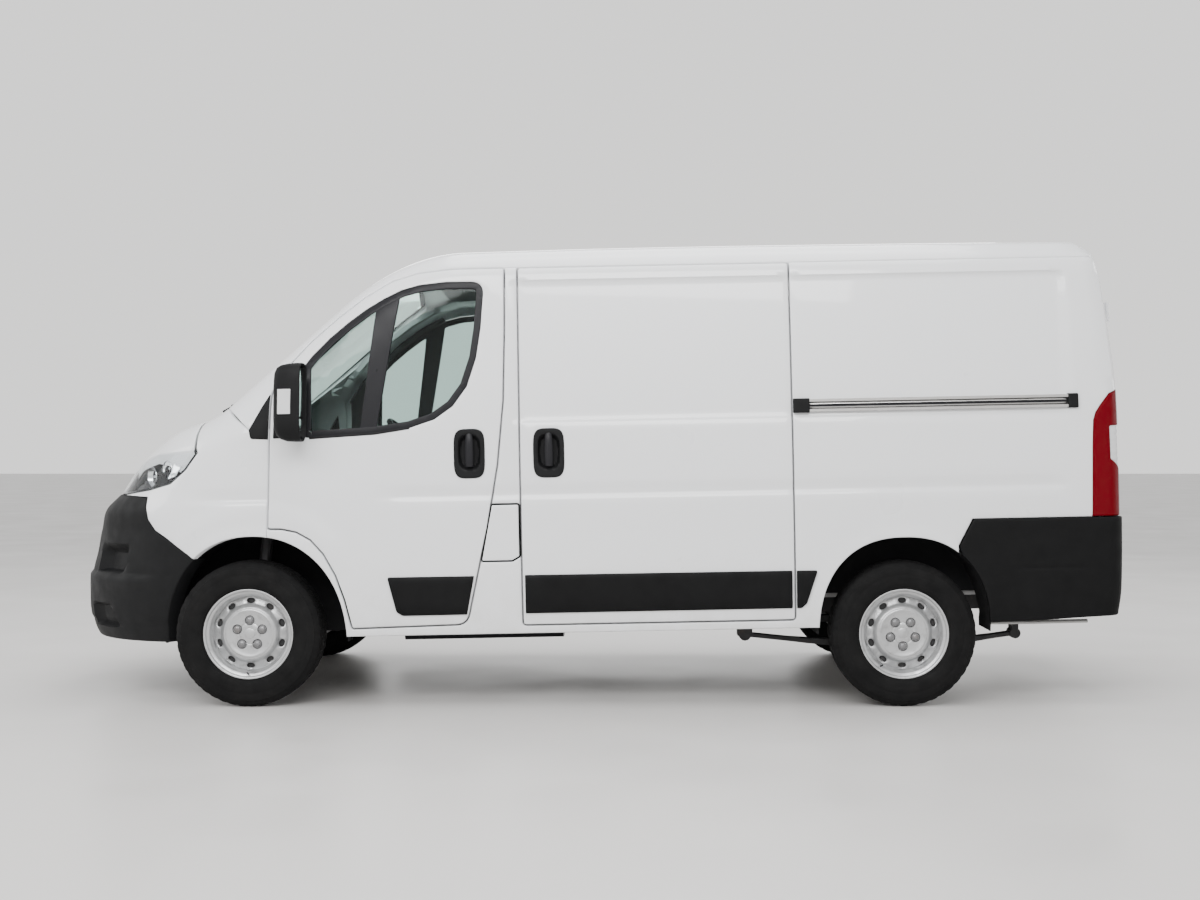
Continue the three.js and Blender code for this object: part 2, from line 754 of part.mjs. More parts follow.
function seat(fromY, toY) {
  const base = rounded([[700, 775, 30], [1180, 765, 30], [1180, 690], [700, 690]]);
  const cushion = rounded([[690, 760, 20], [700, 860, 40], [1120, 820, 40], [1120, 740, 10]]);
  const back = rounded([[1040, 760, 20], [1100, 1440, 30], [1190, 1440, 30], [1200, 760, 20]]);
  const head = rounded([[1105, 1455, 20], [1115, 1640, 30], [1190, 1640, 30], [1190, 1455, 20]]);
  const pedestal = box([740, fromY + 30, FLOOR_TOP + 1], [1140, toY - 30, 700]);
  const middle = (fromY + toY) / 2;
  return union(
    prism(base, "y", fromY + 10, toY - 10),
    prism(cushion, "y", fromY, toY),
    prism(back, "y", fromY, toY),
    prism(head, "y", middle - 130, middle + 130),
    box([1140, middle - 40, 1400], [1160, middle + 40, 1500]),
    pedestal,
  );
}

const STEERING_CENTRE = [600, 440, 1195];
const STEERING_TILT_DEG = 48; // column above the horizontal

/** Steering wheel about its own centre, axis along +Z. */
function steeringWheel() {
  const rim = solid(new THREE.TorusGeometry(190, 15, 6, 20));
  const hub = solid(new THREE.CylinderGeometry(62, 70, 44, 16).rotateX(Math.PI / 2).translate(0, 0, -20));
  const spokes = [0, 140, 220].map((deg) =>
    solid(new THREE.BoxGeometry(150, 36, 18).translate(112, 0, -8).rotateZ(((deg - 90) * Math.PI) / 180)),
  );
  return union(rim, hub, ...spokes);
}

const RAIL_INNER_Y = 470;
const RAIL_OUTER_Y = 545;
const RAIL_TOP = FLOOR_TOP - FLOOR_THICKNESS - SEAM_GAP;
const RAIL_BOTTOM = RAIL_TOP - 84;

function chassisRails() {
  const rail = box([-560, RAIL_INNER_Y, RAIL_BOTTOM], [WHEELBASE + 840, RAIL_OUTER_Y, RAIL_TOP]);
  const crossings = [-500, 520, 1380, 2250, 3620].map((x) =>
    box([x, -RAIL_INNER_Y - 5, RAIL_BOTTOM + 12], [x + 70, RAIL_INNER_Y + 5, RAIL_TOP - 12]),
  );
  return union(rail, mirrorY(rail), ...crossings);
}

const engineBlock = () => box([-420, -300, 445], [60, 330, 960]);

function exhaust() {
  const y = 300;
  return union(
    rod([60, y, 300], [1500, y, 300], 26),
    rod([1480, y, 292], [2080, y, 292], 88, 16),
    rod([2060, y, 300], [2560, y, 300], 26),
    rod([2550, y, 300], [2900, 250, 352], 26),
    rod([2880, 252, 350], [3300, 250, 352], 26),
    rod([3290, 250, 351], [3760, 380, 300], 26),
  );
}

const fuelTank = () =>
  prism(rounded([[-440, 226, 40], [-90, 226, 40], [-90, 336, 20], [-440, 336, 20]]), "x", 640, 1420);

function mirrorHousing() {
  const side = rounded([[190, 1212, 30], [297, 1204, 40], [308, 1552, 30], [212, 1561, 50], [180, 1420, 60]]);
  const shape = prism(side, "y", -1248, -1062);
  const front = prism(rounded([[-1260, 1190], [-1252, 1300, 90], [-1240, 1545, 60], [-1110, 1575, 80], [-1040, 1580], [-1040, 1190]]), "x", 0, 400);
  const arm = box([205, -1070, 1300], [265, -1000, 1400]);
  const sail = prism([[132, 1232], [272, 1232], [272, 1480], [215, 1480], [136, 1405]], "y", -FAR, -300);
  const proud = bodySolid(inset(-10), 200).intersect(sail);
  return largest(union(shape.intersect(front), arm, proud).subtract(bodySolid(inset(-SEAM_GAP), -FAR)));
}

// The wheel is made about its own centre with +Y pointing out of the van on the right side.
function tyre() {
  const half = [
    [RIM_RADIUS + 1, BEAD_HALF_WIDTH - 1.5],
    [RIM_RADIUS + 19, BEAD_HALF_WIDTH - 1.5],
    [TYRE_RADIUS - 85, TYRE_HALF_WIDTH - 2],
    [TYRE_RADIUS - 45, TYRE_HALF_WIDTH],
    [TYRE_RADIUS - 12, TYRE_HALF_WIDTH - 14],
    [TYRE_RADIUS, TYRE_HALF_WIDTH - 38],
  ];
  const loop = [...half, ...half.map(([r, y]) => [r, -y]).reverse()];
  return turned([...loop, loop[0]].reverse(), WHEEL_SIDES);
}

/** Pressed steel wheel: a dished disc with a raised centre, welded inside a drop-centre rim. */
function rim() {
  return turned(
    [
      [0, -HUB_DEPTH],
      [64, -HUB_DEPTH],
      [64, 50],
      [104, 50],
      [168, -8],
      [183, -30],
      [183, -FLANGE_HALF_WIDTH],
      [RIM_RADIUS + 17, -FLANGE_HALF_WIDTH],
      [RIM_RADIUS + 17, -BEAD_HALF_WIDTH],
      [RIM_RADIUS, -BEAD_HALF_WIDTH],
      [RIM_RADIUS, BEAD_HALF_WIDTH],
      [RIM_RADIUS + 17, BEAD_HALF_WIDTH],
      [RIM_RADIUS + 17, FLANGE_HALF_WIDTH],
      [185, FLANGE_HALF_WIDTH],
      [170, 20],
      [112, 68],
      [0, 70],
    ],
    WHEEL_SIDES,
  );
}

const KINGPIN_LOW = [0, 848, 200];
const KINGPIN_HIGH = [22, 690, 752];

/** Right front upright with its strut, turning about the kingpin line. */
function knuckle() {
  const inner = FRONT_TRACK / 2 - 100;
  const face = FRONT_TRACK / 2 - HUB_DEPTH - 6;
  return union(
    rod([0, inner, AXLE_Z], [0, face, AXLE_Z], 88, 16),
    rod([0, face - 32, AXLE_Z], [0, face - 32, AXLE_Z - 106], 24),
    rod([6, 800, 360], KINGPIN_HIGH, 27, 14),
    rod([0, 822, AXLE_Z - 60], [14, 742, 570], 34, 14),
  );
}

function frontSubframe() {
  const beam = box([20, -470, 205], [150, 470, 262]);
  const arm = prism([[-60, 440], [-30, 860], [30, 860], [170, 440]], "z", 186, 208);
  const post = box([30, 400, 250], [120, 470, RAIL_BOTTOM - 14]);
  return union(beam, arm, mirrorY(arm), post, mirrorY(post));
}

/** Rear beam axle with its two leaf springs, square to the ground. */
function rearAxle() {
  const springY = 560;
  const beam = rod([WHEELBASE, -REAR_TRACK / 2 + HUB_DEPTH + 6, AXLE_Z], [WHEELBASE, REAR_TRACK / 2 - HUB_DEPTH - 6, AXLE_Z], 38, 16);
  const droop = curve([
    [WHEELBASE - 700, 285],
    [WHEELBASE - 350, 252],
    [WHEELBASE, 240],
    [WHEELBASE + 300, 252],
    [WHEELBASE + 600, 292],
  ]);
  const stops = Array.from({ length: 14 }, (_, i) => WHEELBASE - 700 + i * 100);
  const leafAt = (x) => 9 + 13 * Math.max(0, 1 - Math.abs(x - WHEELBASE) / 500);
  const leaf = prism(
    [...stops.map((x) => [x, droop(x) - leafAt(x)]), ...stops.map((x) => [x, droop(x) + leafAt(x)]).reverse()],
    "y",
    springY - 35,
    springY + 35,
  );
  const spring = union(
    leaf,
    box([WHEELBASE - 60, springY - 45, 222], [WHEELBASE + 60, springY + 45, AXLE_Z + 30]),
    rod([WHEELBASE - 700, springY - 42, 286], [WHEELBASE - 700, springY + 42, 286], 30),
    rod([WHEELBASE + 600, springY - 42, 293], [WHEELBASE + 600, springY + 42, 293], 26),
    box([WHEELBASE - 735, springY - 42, 280], [WHEELBASE - 665, springY + 42, 378]),
    box([WHEELBASE + 585, springY - 42, 290], [WHEELBASE + 615, springY + 42, 396]),
  );
  return union(beam, spring, mirrorY(spring));
}

// ---------------------------------------------------------------------------------------------------
// Assembly
// ---------------------------------------------------------------------------------------------------

const finish = (color, roughness, metalness = 0) => ({ color, roughness, metalness });
const PAINT = finish(0xf2f2f0, 0.25);
const BLACK_PLASTIC = finish(0x1b1c1e, 0.6);
const DARK_STEEL = finish(0x2a2b2d, 0.55, 0.6);
const LAMP = finish(0xb9c2c6, 0.1);
const TAIL_LAMP = finish(0xa3141a, 0.15);
const GLASS = finish(0x5d7a76, 0.05);
const TRIM = finish(0x303336, 0.8);
const RUBBER = finish(0x161616, 0.85);
const STEEL_RIM = finish(0xb4b7ba, 0.4, 0.7);
const BARE_STEEL = finish(0x8d8f92, 0.5, 0.7);

const root = new THREE.Group();
const body = new THREE.Group();
body.name = "raked_body";
root.add(body);

/** Adds a piece to a group. Its shape is in the group's parent frame, so the group's own place is taken off. */
function put(group, name, made, look, place = group.position) {
  const material = new THREE.MeshStandardMaterial(look);
  if (look === GLASS) Object.assign(material, { transparent: true, opacity: 0.4 });
  const mesh = new THREE.Mesh(geometryOf(made), material);
  mesh.name = name;
  if (group !== body && group !== root) mesh.position.copy(place).negate();
  group.add(mesh);
  return mesh;
}

/** A group at a hinge's place, in its parent's frame. */
function hingeAt(parent, name, x, y, z) {
  const group = new THREE.Group();
  group.name = name;
  group.position.set(x, y, z);
  parent.add(group);
  return group;
}

function addBody() {
  for (const [name, made] of Object.entries({
    roof: roofPanel(),
    side_panel_left: sidePanel(loadDoorCut(SHUT_GAP), flapPocket),
    side_panel_right: mirrorY(sidePanel()),
  }))
    put(body, name, made, PAINT);
  const load = largest(doorShell.intersect(loadDoorCut(0)));
  put(body, "sliding_door", load, PAINT);
  const front = frontPanels();
  put(body, "fender_left", front.fender_left, PAINT);
  put(body, "fender_right", front.fender_right, PAINT);
  put(body, "nose_panel", front.nose_panel, PAINT);
  put(body, "front_bumper", front.front_bumper, BLACK_PLASTIC);
  put(body, "grille", front.grille, BLACK_PLASTIC);
  put(body, "headlamp_left", front.headlamp_left, LAMP);
  put(body, "headlamp_right", mirrorY(front.headlamp_left), LAMP);
  const bonnetHinge = hingeAt(body, "bonnet_hinge", -150, 0, 1335);
  put(bonnetHinge, "bonnet", front.bonnet, PAINT);
  put(body, "rear_bumper", rearBumper(), BLACK_PLASTIC);
  const tailLamp = largest(doorShell.intersect(tailLampCut(0)));
  put(body, "tail_lamp_left", tailLamp, TAIL_LAMP);
  put(body, "tail_lamp_right", mirrorY(tailLamp), TAIL_LAMP);
  put(body, "windscreen", glass(screenPlan, "z", 1100, 2300), GLASS);
  put(body, "cowl", largest(shell.intersect(cowlCut(0))), BLACK_PLASTIC);
}

function addDoors() {
  const panel = largest(doorShell.intersect(doorCut(0)).subtract(leftPrism(windowOutline)));
  const window = glass(windowOutline, "y", -FAR, -300);
  const housing = mirrorHousing();
  for (const [side, turn] of [["left", (m) => m], ["right", mirrorY]]) {
    const sign = side === "left" ? -1 : 1;
    const hinge = hingeAt(body, `${side}_front_door_hinge`, DOOR_FRONT - 8, sign * (BODY_HALF_WIDTH + 5), 1100);
    put(hinge, `front_door_${side}`, turn(panel), PAINT);
    put(hinge, `door_window_${side}`, turn(window), GLASS);
    put(hinge, `mirror_${side}`, turn(housing), BLACK_PLASTIC);
    const rear = hingeAt(body, `${side}_rear_door_hinge`, WHEELBASE + 985 + HINGE_PROUD, sign * (REAR_DOOR_EDGE + 3.5), 1200);
    const leaf = rearDoor();
    put(rear, `rear_door_${side}`, turn(leaf), PAINT);
  }
  const flapHinge = hingeAt(body, "fuel_flap_hinge", FLAP_HINGE_X, -BODY_HALF_WIDTH - 4, 776);
  const lid = outer.subtract(bodySolid(inset(FLAP_THICKNESS), -FAR)).intersect(flapCut(0));
  put(flapHinge, "fuel_flap", largest(lid), PAINT);
}

function addInside() {
  put(body, "floor", floorPan(), BARE_STEEL);
  put(body, "front_structure", frontStructure(), TRIM);
  put(body, "bulkhead", largest(loadBulkhead()), TRIM);
  put(body, "dashboard", dashboard(), TRIM);
  put(body, "driver_seat", seat(180, 720), TRIM);
  put(body, "passenger_bench", seat(-760, 60), TRIM);
  put(body, "engine", engineBlock(), DARK_STEEL);
  put(body, "chassis_rails", chassisRails(), DARK_STEEL);
  put(body, "exhaust", exhaust(), BARE_STEEL);
  put(body, "fuel_tank", fuelTank(), BLACK_PLASTIC);
  const column = hingeAt(body, "steering_column", ...STEERING_CENTRE);
  column.rotation.y = ((90 - STEERING_TILT_DEG) * Math.PI) / 180;
  put(column, "steering_wheel", steeringWheel(), BLACK_PLASTIC, new THREE.Vector3());
}

function addRunningGear() {
  put(root, "front_subframe", frontSubframe(), DARK_STEEL);
  put(root, "rear_axle", rearAxle(), DARK_STEEL);
  const parts = { tyre: tyre(), rim: rim(), knuckle: knuckle() };
  for (const [side, sign, turn] of [["left", -1, mirrorY], ["right", 1, (m) => m]]) {
    const steer = hingeAt(root, `${side}_steer`, KINGPIN_LOW[0], sign * KINGPIN_LOW[1], KINGPIN_LOW[2]);
    put(steer, `knuckle_${side}`, turn(parts.knuckle), DARK_STEEL);
    for (const [end, x, track] of [["front", 0, FRONT_TRACK], ["rear", WHEELBASE, REAR_TRACK]]) {
      const hub = hingeAt(root, `${end}_${side}_hub`, x, (sign * track) / 2, AXLE_Z);
      const centred = new THREE.Vector3();
      put(hub, `tyre_${end}_${side}`, turn(parts.tyre), RUBBER, centred);
      put(hub, `rim_${end}_${side}`, turn(parts.rim), STEEL_RIM, centred);
    }
  }
}

addBody();
addDoors();
addInside();
addRunningGear();

// Tip the body nose-down about the front axle, then put the origin under the middle of the van.
const rake = (RAKE_DEG * Math.PI) / 180;
body.rotation.y = -rake;
body.position.copy(new THREE.Vector3(0, 0, AXLE_Z)).sub(new THREE.Vector3(0, 0, AXLE_Z).applyEuler(body.rotation));
root.updateMatrixWorld(true);
const extent = new THREE.Box3().setFromObject(root, true);
root.position.x = -(extent.min.x + extent.max.x) / 2;

export default root;
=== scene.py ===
"""Looks of the panel van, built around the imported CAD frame.

The van's body is one smooth surface, written as a function of position in the body's own frame:
millimetres, x rearwards from the front axle, y to the van's right, z up from the ground. Every panel is
an outline laid on that surface.
"""

import math

import bmesh
import bpy
import numpy as np
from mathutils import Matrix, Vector
from mathutils.geometry import delaunay_2d_cdt


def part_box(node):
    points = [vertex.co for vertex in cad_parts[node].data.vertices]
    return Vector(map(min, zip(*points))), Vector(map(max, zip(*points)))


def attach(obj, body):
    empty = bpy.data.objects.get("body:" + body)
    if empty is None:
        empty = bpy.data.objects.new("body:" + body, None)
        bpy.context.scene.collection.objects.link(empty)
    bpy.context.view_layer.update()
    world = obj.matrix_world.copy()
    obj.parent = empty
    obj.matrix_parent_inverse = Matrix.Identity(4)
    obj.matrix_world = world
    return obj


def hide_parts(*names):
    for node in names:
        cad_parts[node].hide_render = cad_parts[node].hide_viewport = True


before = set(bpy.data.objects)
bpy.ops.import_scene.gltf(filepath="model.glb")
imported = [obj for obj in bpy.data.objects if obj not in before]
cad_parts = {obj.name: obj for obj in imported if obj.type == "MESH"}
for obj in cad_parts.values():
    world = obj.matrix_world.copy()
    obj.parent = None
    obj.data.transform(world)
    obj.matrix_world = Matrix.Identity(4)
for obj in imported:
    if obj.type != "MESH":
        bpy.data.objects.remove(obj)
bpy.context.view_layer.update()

# ---------------------------------------------------------------------------------------------------
# Sizes, millimetres in the body's frame
# ---------------------------------------------------------------------------------------------------

WHEELBASE = 3000.0
FRONT_OVERHANG = 948.0
HALF_WIDTH = 1025.0
ROOF_EDGE_Z = 2080.0
ROOF_CROWN = 60.0
SILL_Z = 312.0
RAKE = math.radians(1.1)
WALL = 85.0
ROOF_WALL = 55.0
DOOR_WALL = 60.0
SHUT_GAP = 8.0
SEAM_GAP = 1.5
FRONT_HALF_TRACK = 905.0
REAR_HALF_TRACK = 895.0
LOAD_DOOR = (1262.0, 2500.0)
REAR_DOOR_EDGE = 800.0
REAR_DOOR_TOP = 1985.0
REAR_DOOR_BOTTOM = 474.0
WAIST_SEAM_Z = 1991.0

tyre_low, tyre_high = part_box("tyre_front_left")
AXLE = ((tyre_low + tyre_high) / 2).x
AXLE_Z = ((tyre_low + tyre_high) / 2).z


def row(points):
    """Body-frame millimetres to row-frame metres."""
    p = np.asarray(points, float).reshape(-1, 3) / 1000
    z = p[:, 2] - AXLE_Z
    return np.stack(
        [
            AXLE + p[:, 0] * math.cos(RAKE) - z * math.sin(RAKE),
            p[:, 1],
            AXLE_Z + p[:, 0] * math.sin(RAKE) + z * math.cos(RAKE),
        ],
        1,
    )


# ---------------------------------------------------------------------------------------------------
# The body's surface
# ---------------------------------------------------------------------------------------------------


def curve(points):
    """A smooth curve through points, straight beyond its ends."""
    xs, ys = np.array(points, float).T
    n = len(xs)
    before, after = np.maximum(np.arange(n) - 1, 0), np.minimum(np.arange(n) + 1, n - 1)
    slopes = (ys[after] - ys[before]) / (xs[after] - xs[before])

    def at(x):
        x = np.asarray(x, float)
        i = np.clip(np.searchsorted(xs, x) - 1, 0, n - 2)
        width = xs[i + 1] - xs[i]
        rise = ys[i + 1] - ys[i]
        t = (x - xs[i]) / width
        middle = ys[i] + t * t * (3 - 2 * t) * rise
        middle = middle + width * t * (1 - t) * (slopes[i] * (1 - t) - slopes[i + 1] * t)
        low, high = ys[0] + slopes[0] * (x - xs[0]), ys[-1] + slopes[-1] * (x - xs[-1])
        return np.where(x <= xs[0], low, np.where(x >= xs[-1], high, middle))

    return at


def soft_min(a, b, k):
    return np.minimum(a, b) - np.maximum(k - np.abs(a - b), 0) ** 2 / (4 * k)


def soft_max(a, b, k):
    return -soft_min(-a, -b, k)


def step(x, low, high):
    t = np.clip((np.asarray(x, float) - low) / (high - low), 0, 1)
    return t * t * (3 - 2 * t)


half_width_at = curve(
    [
        (250, HALF_WIDTH - 50),
        (400, HALF_WIDTH - 22),
        (600, HALF_WIDTH - 7),
        (900, HALF_WIDTH),
        (1280, HALF_WIDTH - 7),
        (1600, HALF_WIDTH - 25),
        (1990, HALF_WIDTH - 61),
        (2150, HALF_WIDTH - 85),
    ]
)
nose_reach_at = curve(
    [
        (230, 0.886),
        (300, 0.965),
        (400, 0.997),
        (500, 1),
        (600, 0.994),
        (700, 0.965),
        (800, 0.943),
        (900, 0.913),
        (985, 0.82),
        (1100, 0.755),
        (1200, 0.675),
        (1400, 0.506),
        (1700, 0.264),
        (2100, -0.053),
    ]
)
bonnet_edge_at = curve(
    [
        (-800, 960),
        (-700, 1050),
        (-600, 1130),
        (-533, 1173),
        (-449, 1222),
        (-374, 1255),
        (-281, 1284),
        (-200, 1310),
        (0, 1385),
    ]
)
roof_edge_at = curve(
    [
        (700, ROOF_EDGE_Z - 10),
        (1170, ROOF_EDGE_Z - 5),
        (1640, ROOF_EDGE_Z),
        (2520, ROOF_EDGE_Z),
        (3800, ROOF_EDGE_Z - 10),
        (3960, ROOF_EDGE_Z - 18),
    ]
)
rear_face_at = curve([(300, 988), (700, 995), (1396, 991), (1625, 971), (1832, 946), (2015, 920),
        (2150, 903)])


def top_at(x, y):
    across = 1 - (y / 850) ** 2
    bonnet = bonnet_edge_at(x) + 55 * across
    screen = 1463 + 0.85 * (x - 7) + 105 * across
    roof = roof_edge_at(x) + ROOF_CROWN * across
    return soft_min(soft_max(bonnet, screen, 30), roof, 250)


def outside_sides(x, y, z, inset):
    width = half_width_at(z) - inset
    start = 150 + 1.4 * np.maximum(z - 1250, 0)
    reach = start + FRONT_OVERHANG * nose_reach_at(z) - inset
    u = np.maximum(start - x, 1e-6) / reach
    v = np.maximum(np.abs(y), 1e-6) / width
    p = 2.6
    g = (u**p + v**p) ** (1 / p)
    steepness = np.hypot(u ** (p - 1) / reach, v ** (p - 1) / width)
    return np.where(x >= start, np.abs(y) - width, (g - 1) * g ** (p - 1) / steepness)


def outside(points, inset=0.0):
    """About how far points are outside the body, with its surface set in by inset."""
    x, y, z = points.T
    slope = (top_at(x + 5, y) - top_at(x - 5, y)) / 10
    above = (z - top_at(x, y)) / np.hypot(1, slope) + inset
    behind = x - (WHEELBASE + rear_face_at(z) + 14 * (1 - (y / HALF_WIDTH) ** 2)) + inset
    return soft_max(soft_max(outside_sides(x, y, z, inset), above, 140), behind, 62)


def cast(origins, ways, inset=0.0, reach=1700.0):
    """Where rays from inside leave the surface."""
    near = np.zeros(len(origins))
    far = np.full(len(origins), reach)
    for _ in range(25):
        middle = (near + far) / 2
        within = outside(origins + ways * middle[:, None], inset) < 0
        near, far = np.where(within, middle, near), np.where(within, far, middle)
    return origins + ways * near[:, None]


def fixed(count, *values):
    return np.tile(np.array(values, float), (count, 1))


class Side:
    """Flat map of one side: u along x and then round the rear corner, v up. sign is -1 on the left."""

    CORNER = (3700.0, 700.0, 310.0)

    def __init__(self, sign):
        self.sign = sign

    def at(self, uv, inset=0.0):
        cx, cy, r = self.CORNER
        u, v = uv.T
        a = np.maximum(u - cx, 0) / r
        origins = np.stack([np.minimum(u, cx), np.full(len(u), self.sign * cy), v], 1)
        ways = np.stack([np.sin(a), self.sign * np.cos(a), 0 * a], 1)
        return cast(origins, ways, inset)

    def flat(self, p):
        cx, cy, r = self.CORNER
        a = np.arctan2(np.maximum(p[:, 0] - cx, 0), np.maximum(np.abs(p[:, 1]) - cy, 1e-3))
        return np.stack([np.minimum(p[:, 0], cx) + a * r, p[:, 2]], 1)


class Front:
    """Flat map of the nose: u round from the van's middle, negative on the left, v up."""

    X, R = 400.0, 900.0

    def at(self, uv, inset=0.0):
        a = uv[:, 0] / self.R
        origins = np.stack([np.full(len(uv), self.X), 0 * a, uv[:, 1]], 1)
        return cast(origins, np.stack([-np.cos(a), np.sin(a), 0 * a], 1), inset)

    def flat(self, p):
        return np.stack([np.arctan2(p[:, 1], self.X - p[:, 0]) * self.R, p[:, 2]], 1)


class Roof:
    """Flat map of the top: u along x and over the rear edge, v round from the van's middle."""

    X, Z, R, END = 3560.0, 1230.0, 900.0, 400.0

    def at(self, uv, inset=0.0):
        u, v = uv.T
        a = np.maximum(u - self.X, 0) / self.END
        t = v / self.R
        origins = np.stack([np.minimum(u, self.X), 0 * u, np.full(len(u), self.Z)], 1)
        return cast(origins, np.stack([np.sin(a), np.cos(a) * np.sin(t), np.cos(a) * np.cos(t)], 1), inset)

    def flat(self, p):
        up = p[:, 2] - self.Z
        a = np.arctan2(np.maximum(p[:, 0] - self.X, 0), np.hypot(p[:, 1], up))
        return np.stack([np.minimum(p[:, 0], self.X) + a * self.END, np.arctan2(p[:, 1], up) * self.R], 1)


class Top:
    """Plan map: rays straight up from height z."""

    def __init__(self, z):
        self.z = z

    def at(self, uv, inset=0.0):
        origins = np.stack([uv[:, 0], uv[:, 1], np.full(len(uv), self.z)], 1)
        return cast(origins, fixed(len(uv), 0, 0, 1), inset)

    def flat(self, p):
        return p[:, :2]


class Rear:
    """Map of the rear face: u across, v up."""

    def at(self, uv, inset=0.0):
        origins = np.stack([np.full(len(uv), 3000.0), uv[:, 0], uv[:, 1]], 1)
        return cast(origins, fixed(len(uv), 1, 0, 0), inset)

    def flat(self, p):
        return p[:, 1:]


LEFT, RIGHT = Side(-1), Side(1)
FRONT, ROOF, REAR = Front(), Roof(), Rear()


def on_side(xz, sign=-1):
    xz = np.asarray(xz, float)
    return cast(np.stack([xz[:, 0], 0 * xz[:, 0], xz[:, 1]], 1), fixed(len(xz), 0, sign, 0))


def on_front(yz):
    yz = np.asarray(yz, float)
    return cast(np.stack([np.full(len(yz), 200.0), yz[:, 0], yz[:, 1]], 1), fixed(len(yz), -1, 0, 0))


def on_rear(yz):
    return REAR.at(np.asarray(yz, float))


def on_top(xy, z=1250.0):
    return Top(z).at(np.asarray(xy, float))


# ---------------------------------------------------------------------------------------------------
# Outlines
# ---------------------------------------------------------------------------------------------------


def rounded(points, steps=6):
    """A polygon whose corners (x, y, radius) are rounded."""
    made = []
    n = len(points)
    for i, p in enumerate(points):
        b = np.array(p[:2], float)
        if len(p) == 2:
            made.append(b)
            continue
        a, c = np.array(points[i - 1][:2], float), np.array(points[(i + 1) % n][:2], float)
        la, lc = np.linalg.norm(a - b), np.linalg.norm(c - b)
        u, w = (a - b) / la, (c - b) / lc
        half = math.acos(np.clip(u @ w, -1, 1)) / 2
        t = min(p[2] / math.tan(half), 0.49 * la, 0.49 * lc)
        for k in range(steps + 1):
            s = k / steps
            made.append((1 - s) ** 2 * (b + u * t) + 2 * s * (1 - s) * b + s * s * (b + w * t))
    return np.array(made)


def oriented(loop):
    x, y = loop.T
    area = np.sum(x * np.roll(y, -1) - np.roll(x, -1) * y)
    return loop if area > 0 else loop[::-1]


def grown(loop, by):
    """A polygon moved outwards by a distance."""
    loop = oriented(np.asarray(loop, float))
    along = np.roll(loop, -1, 0) - loop
    along /= np.maximum(np.linalg.norm(along, axis=1), 1e-9)[:, None]
    normal = np.stack([along[:, 1], -along[:, 0]], 1)
    before = np.roll(normal, 1, 0)
    bisector = normal + before
    scale = np.maximum((bisector * bisector).sum(1) / 2, 0.35)
    return loop + by * bisector / scale[:, None]


def dense(loop, most=12.0):
    loop = np.asarray(loop, float)
    made = []
    for a, b in zip(loop, np.roll(loop, -1, 0)):
        n = max(1, int(np.ceil(np.linalg.norm(b - a) / most)))
        made += [a + (b - a) * k / n for k in range(n)]
    return np.array(made)


def open_line(points, most=12.0):
    points = np.asarray(points, float)
    made = []
    for a, b in zip(points[:-1], points[1:]):
        n = max(1, int(np.ceil(np.linalg.norm(b - a) / most)))
        made += [a + (b - a) * k / n for k in range(n)]
    return np.array(made + [points[-1]])


def rectangle(x0, x1, z0, z1, r):
    return rounded([(x0, z0, r), (x1, z0, r), (x1, z1, r), (x0, z1, r)])


def flipped(loop):
    return np.asarray(loop) * np.array([-1, 1])


class Arch:
    def __init__(self, x, z, half, height, power):
        self.x, self.z, self.half, self.height, self.power = x, z, half, height, power

    def outline(self, extra=0.0, steps=56, below=500.0):
        t = np.linspace(0, math.pi, steps)
        c, s = np.cos(t), np.sin(t)
        x = self.x + (self.half + extra) * np.sign(c) * np.abs(c) ** (2 / self.power)
        z = self.z + (self.height + extra) * np.abs(s) ** (2 / self.power)
        edge = np.stack([x, z], 1)
        return np.concatenate([[[x[0], self.z - below]], edge, [[x[-1], self.z - below]]])

    def beyond(self, x, z):
        """How far a point of the side is outside the arch."""
        u = np.maximum(np.abs(x - self.x), 1e-6) / self.half
        v = np.maximum(z - self.z, 1e-6) / self.height
        g = (u**self.power + v**self.power) ** (1 / self.power)
        return (g - 1) * (self.half + self.height) / 2


FRONT_ARCH = Arch(30.0, 290.0, 420.0, 490.0, 2.15)
REAR_ARCH = Arch(WHEELBASE + 3, 280.0, 390.0, 440.0, 2.3)

DOOR = rounded(
    [
        (109, 817, 8),
        (121, 1219),
        (131, 1435, 60),
        (209, 1569),
        (296, 1666),
        (421, 1773),
        (548, 1866),
        (675, 1938),
        (802, 1972),
        (969, 1986),
        (1196, 1986, 14),
        (1193, 1701),
        (1183, 1381),
        (1152, 1085),
        (1101, 802),
        (1000, 362, 60),
        (479, 352, 10),
        (450, 481),
        (411, 596),
        (358, 697),
        (300, 763),
        (236, 800),
        (168, 815),
    ]
)
WINDOW = rounded(
    [
        (281, 1226, 12),
        (592, 1240),
        (755, 1262),
        (870, 1299),
        (955, 1358),
        (1020, 1446),
        (1064, 1576),
        (1086, 1713),
        (1104, 1924, 55),
        (932, 1926),
        (809, 1915),
        (727, 1894),
        (645, 1856),
        (562, 1808),
        (479, 1749),
        (396, 1681),
        (313, 1598),
        (278, 1552, 10),
    ]
)
SLIDER = rectangle(LOAD_DOOR[0], LOAD_DOOR[1], 354, 1986, 14)
FLAP = rounded([(1128, 902, 6), (1247, 902, 6), (1247, 668, 8), (1215, 650, 6), (1078, 650, 6)])
LAMP_TOP = [(-232, 1182), (-449, 1165), (-582, 1122), (-640, 1088), (-690, 1062)]
LAMP_LOW = [(-640, 975), (-478, 998), (-364, 1026), (-285, 1089), (-226, 1166)]
LAMP_INNER = 470.0
BUMPER_EDGE = [(-640, 970), (-487, 964), (-488, 916), (-474, 861), (-435, 810), (-383, 778), (-309, 727),
    (-225, 669)]
NOSE_Z = (972.0, 1060.0)
BONNET_VIEW = 950.0
COWL_REAR = [(-130, 768), (-197, 620), (-242, 400), (-264, 150), (-264, 0)]
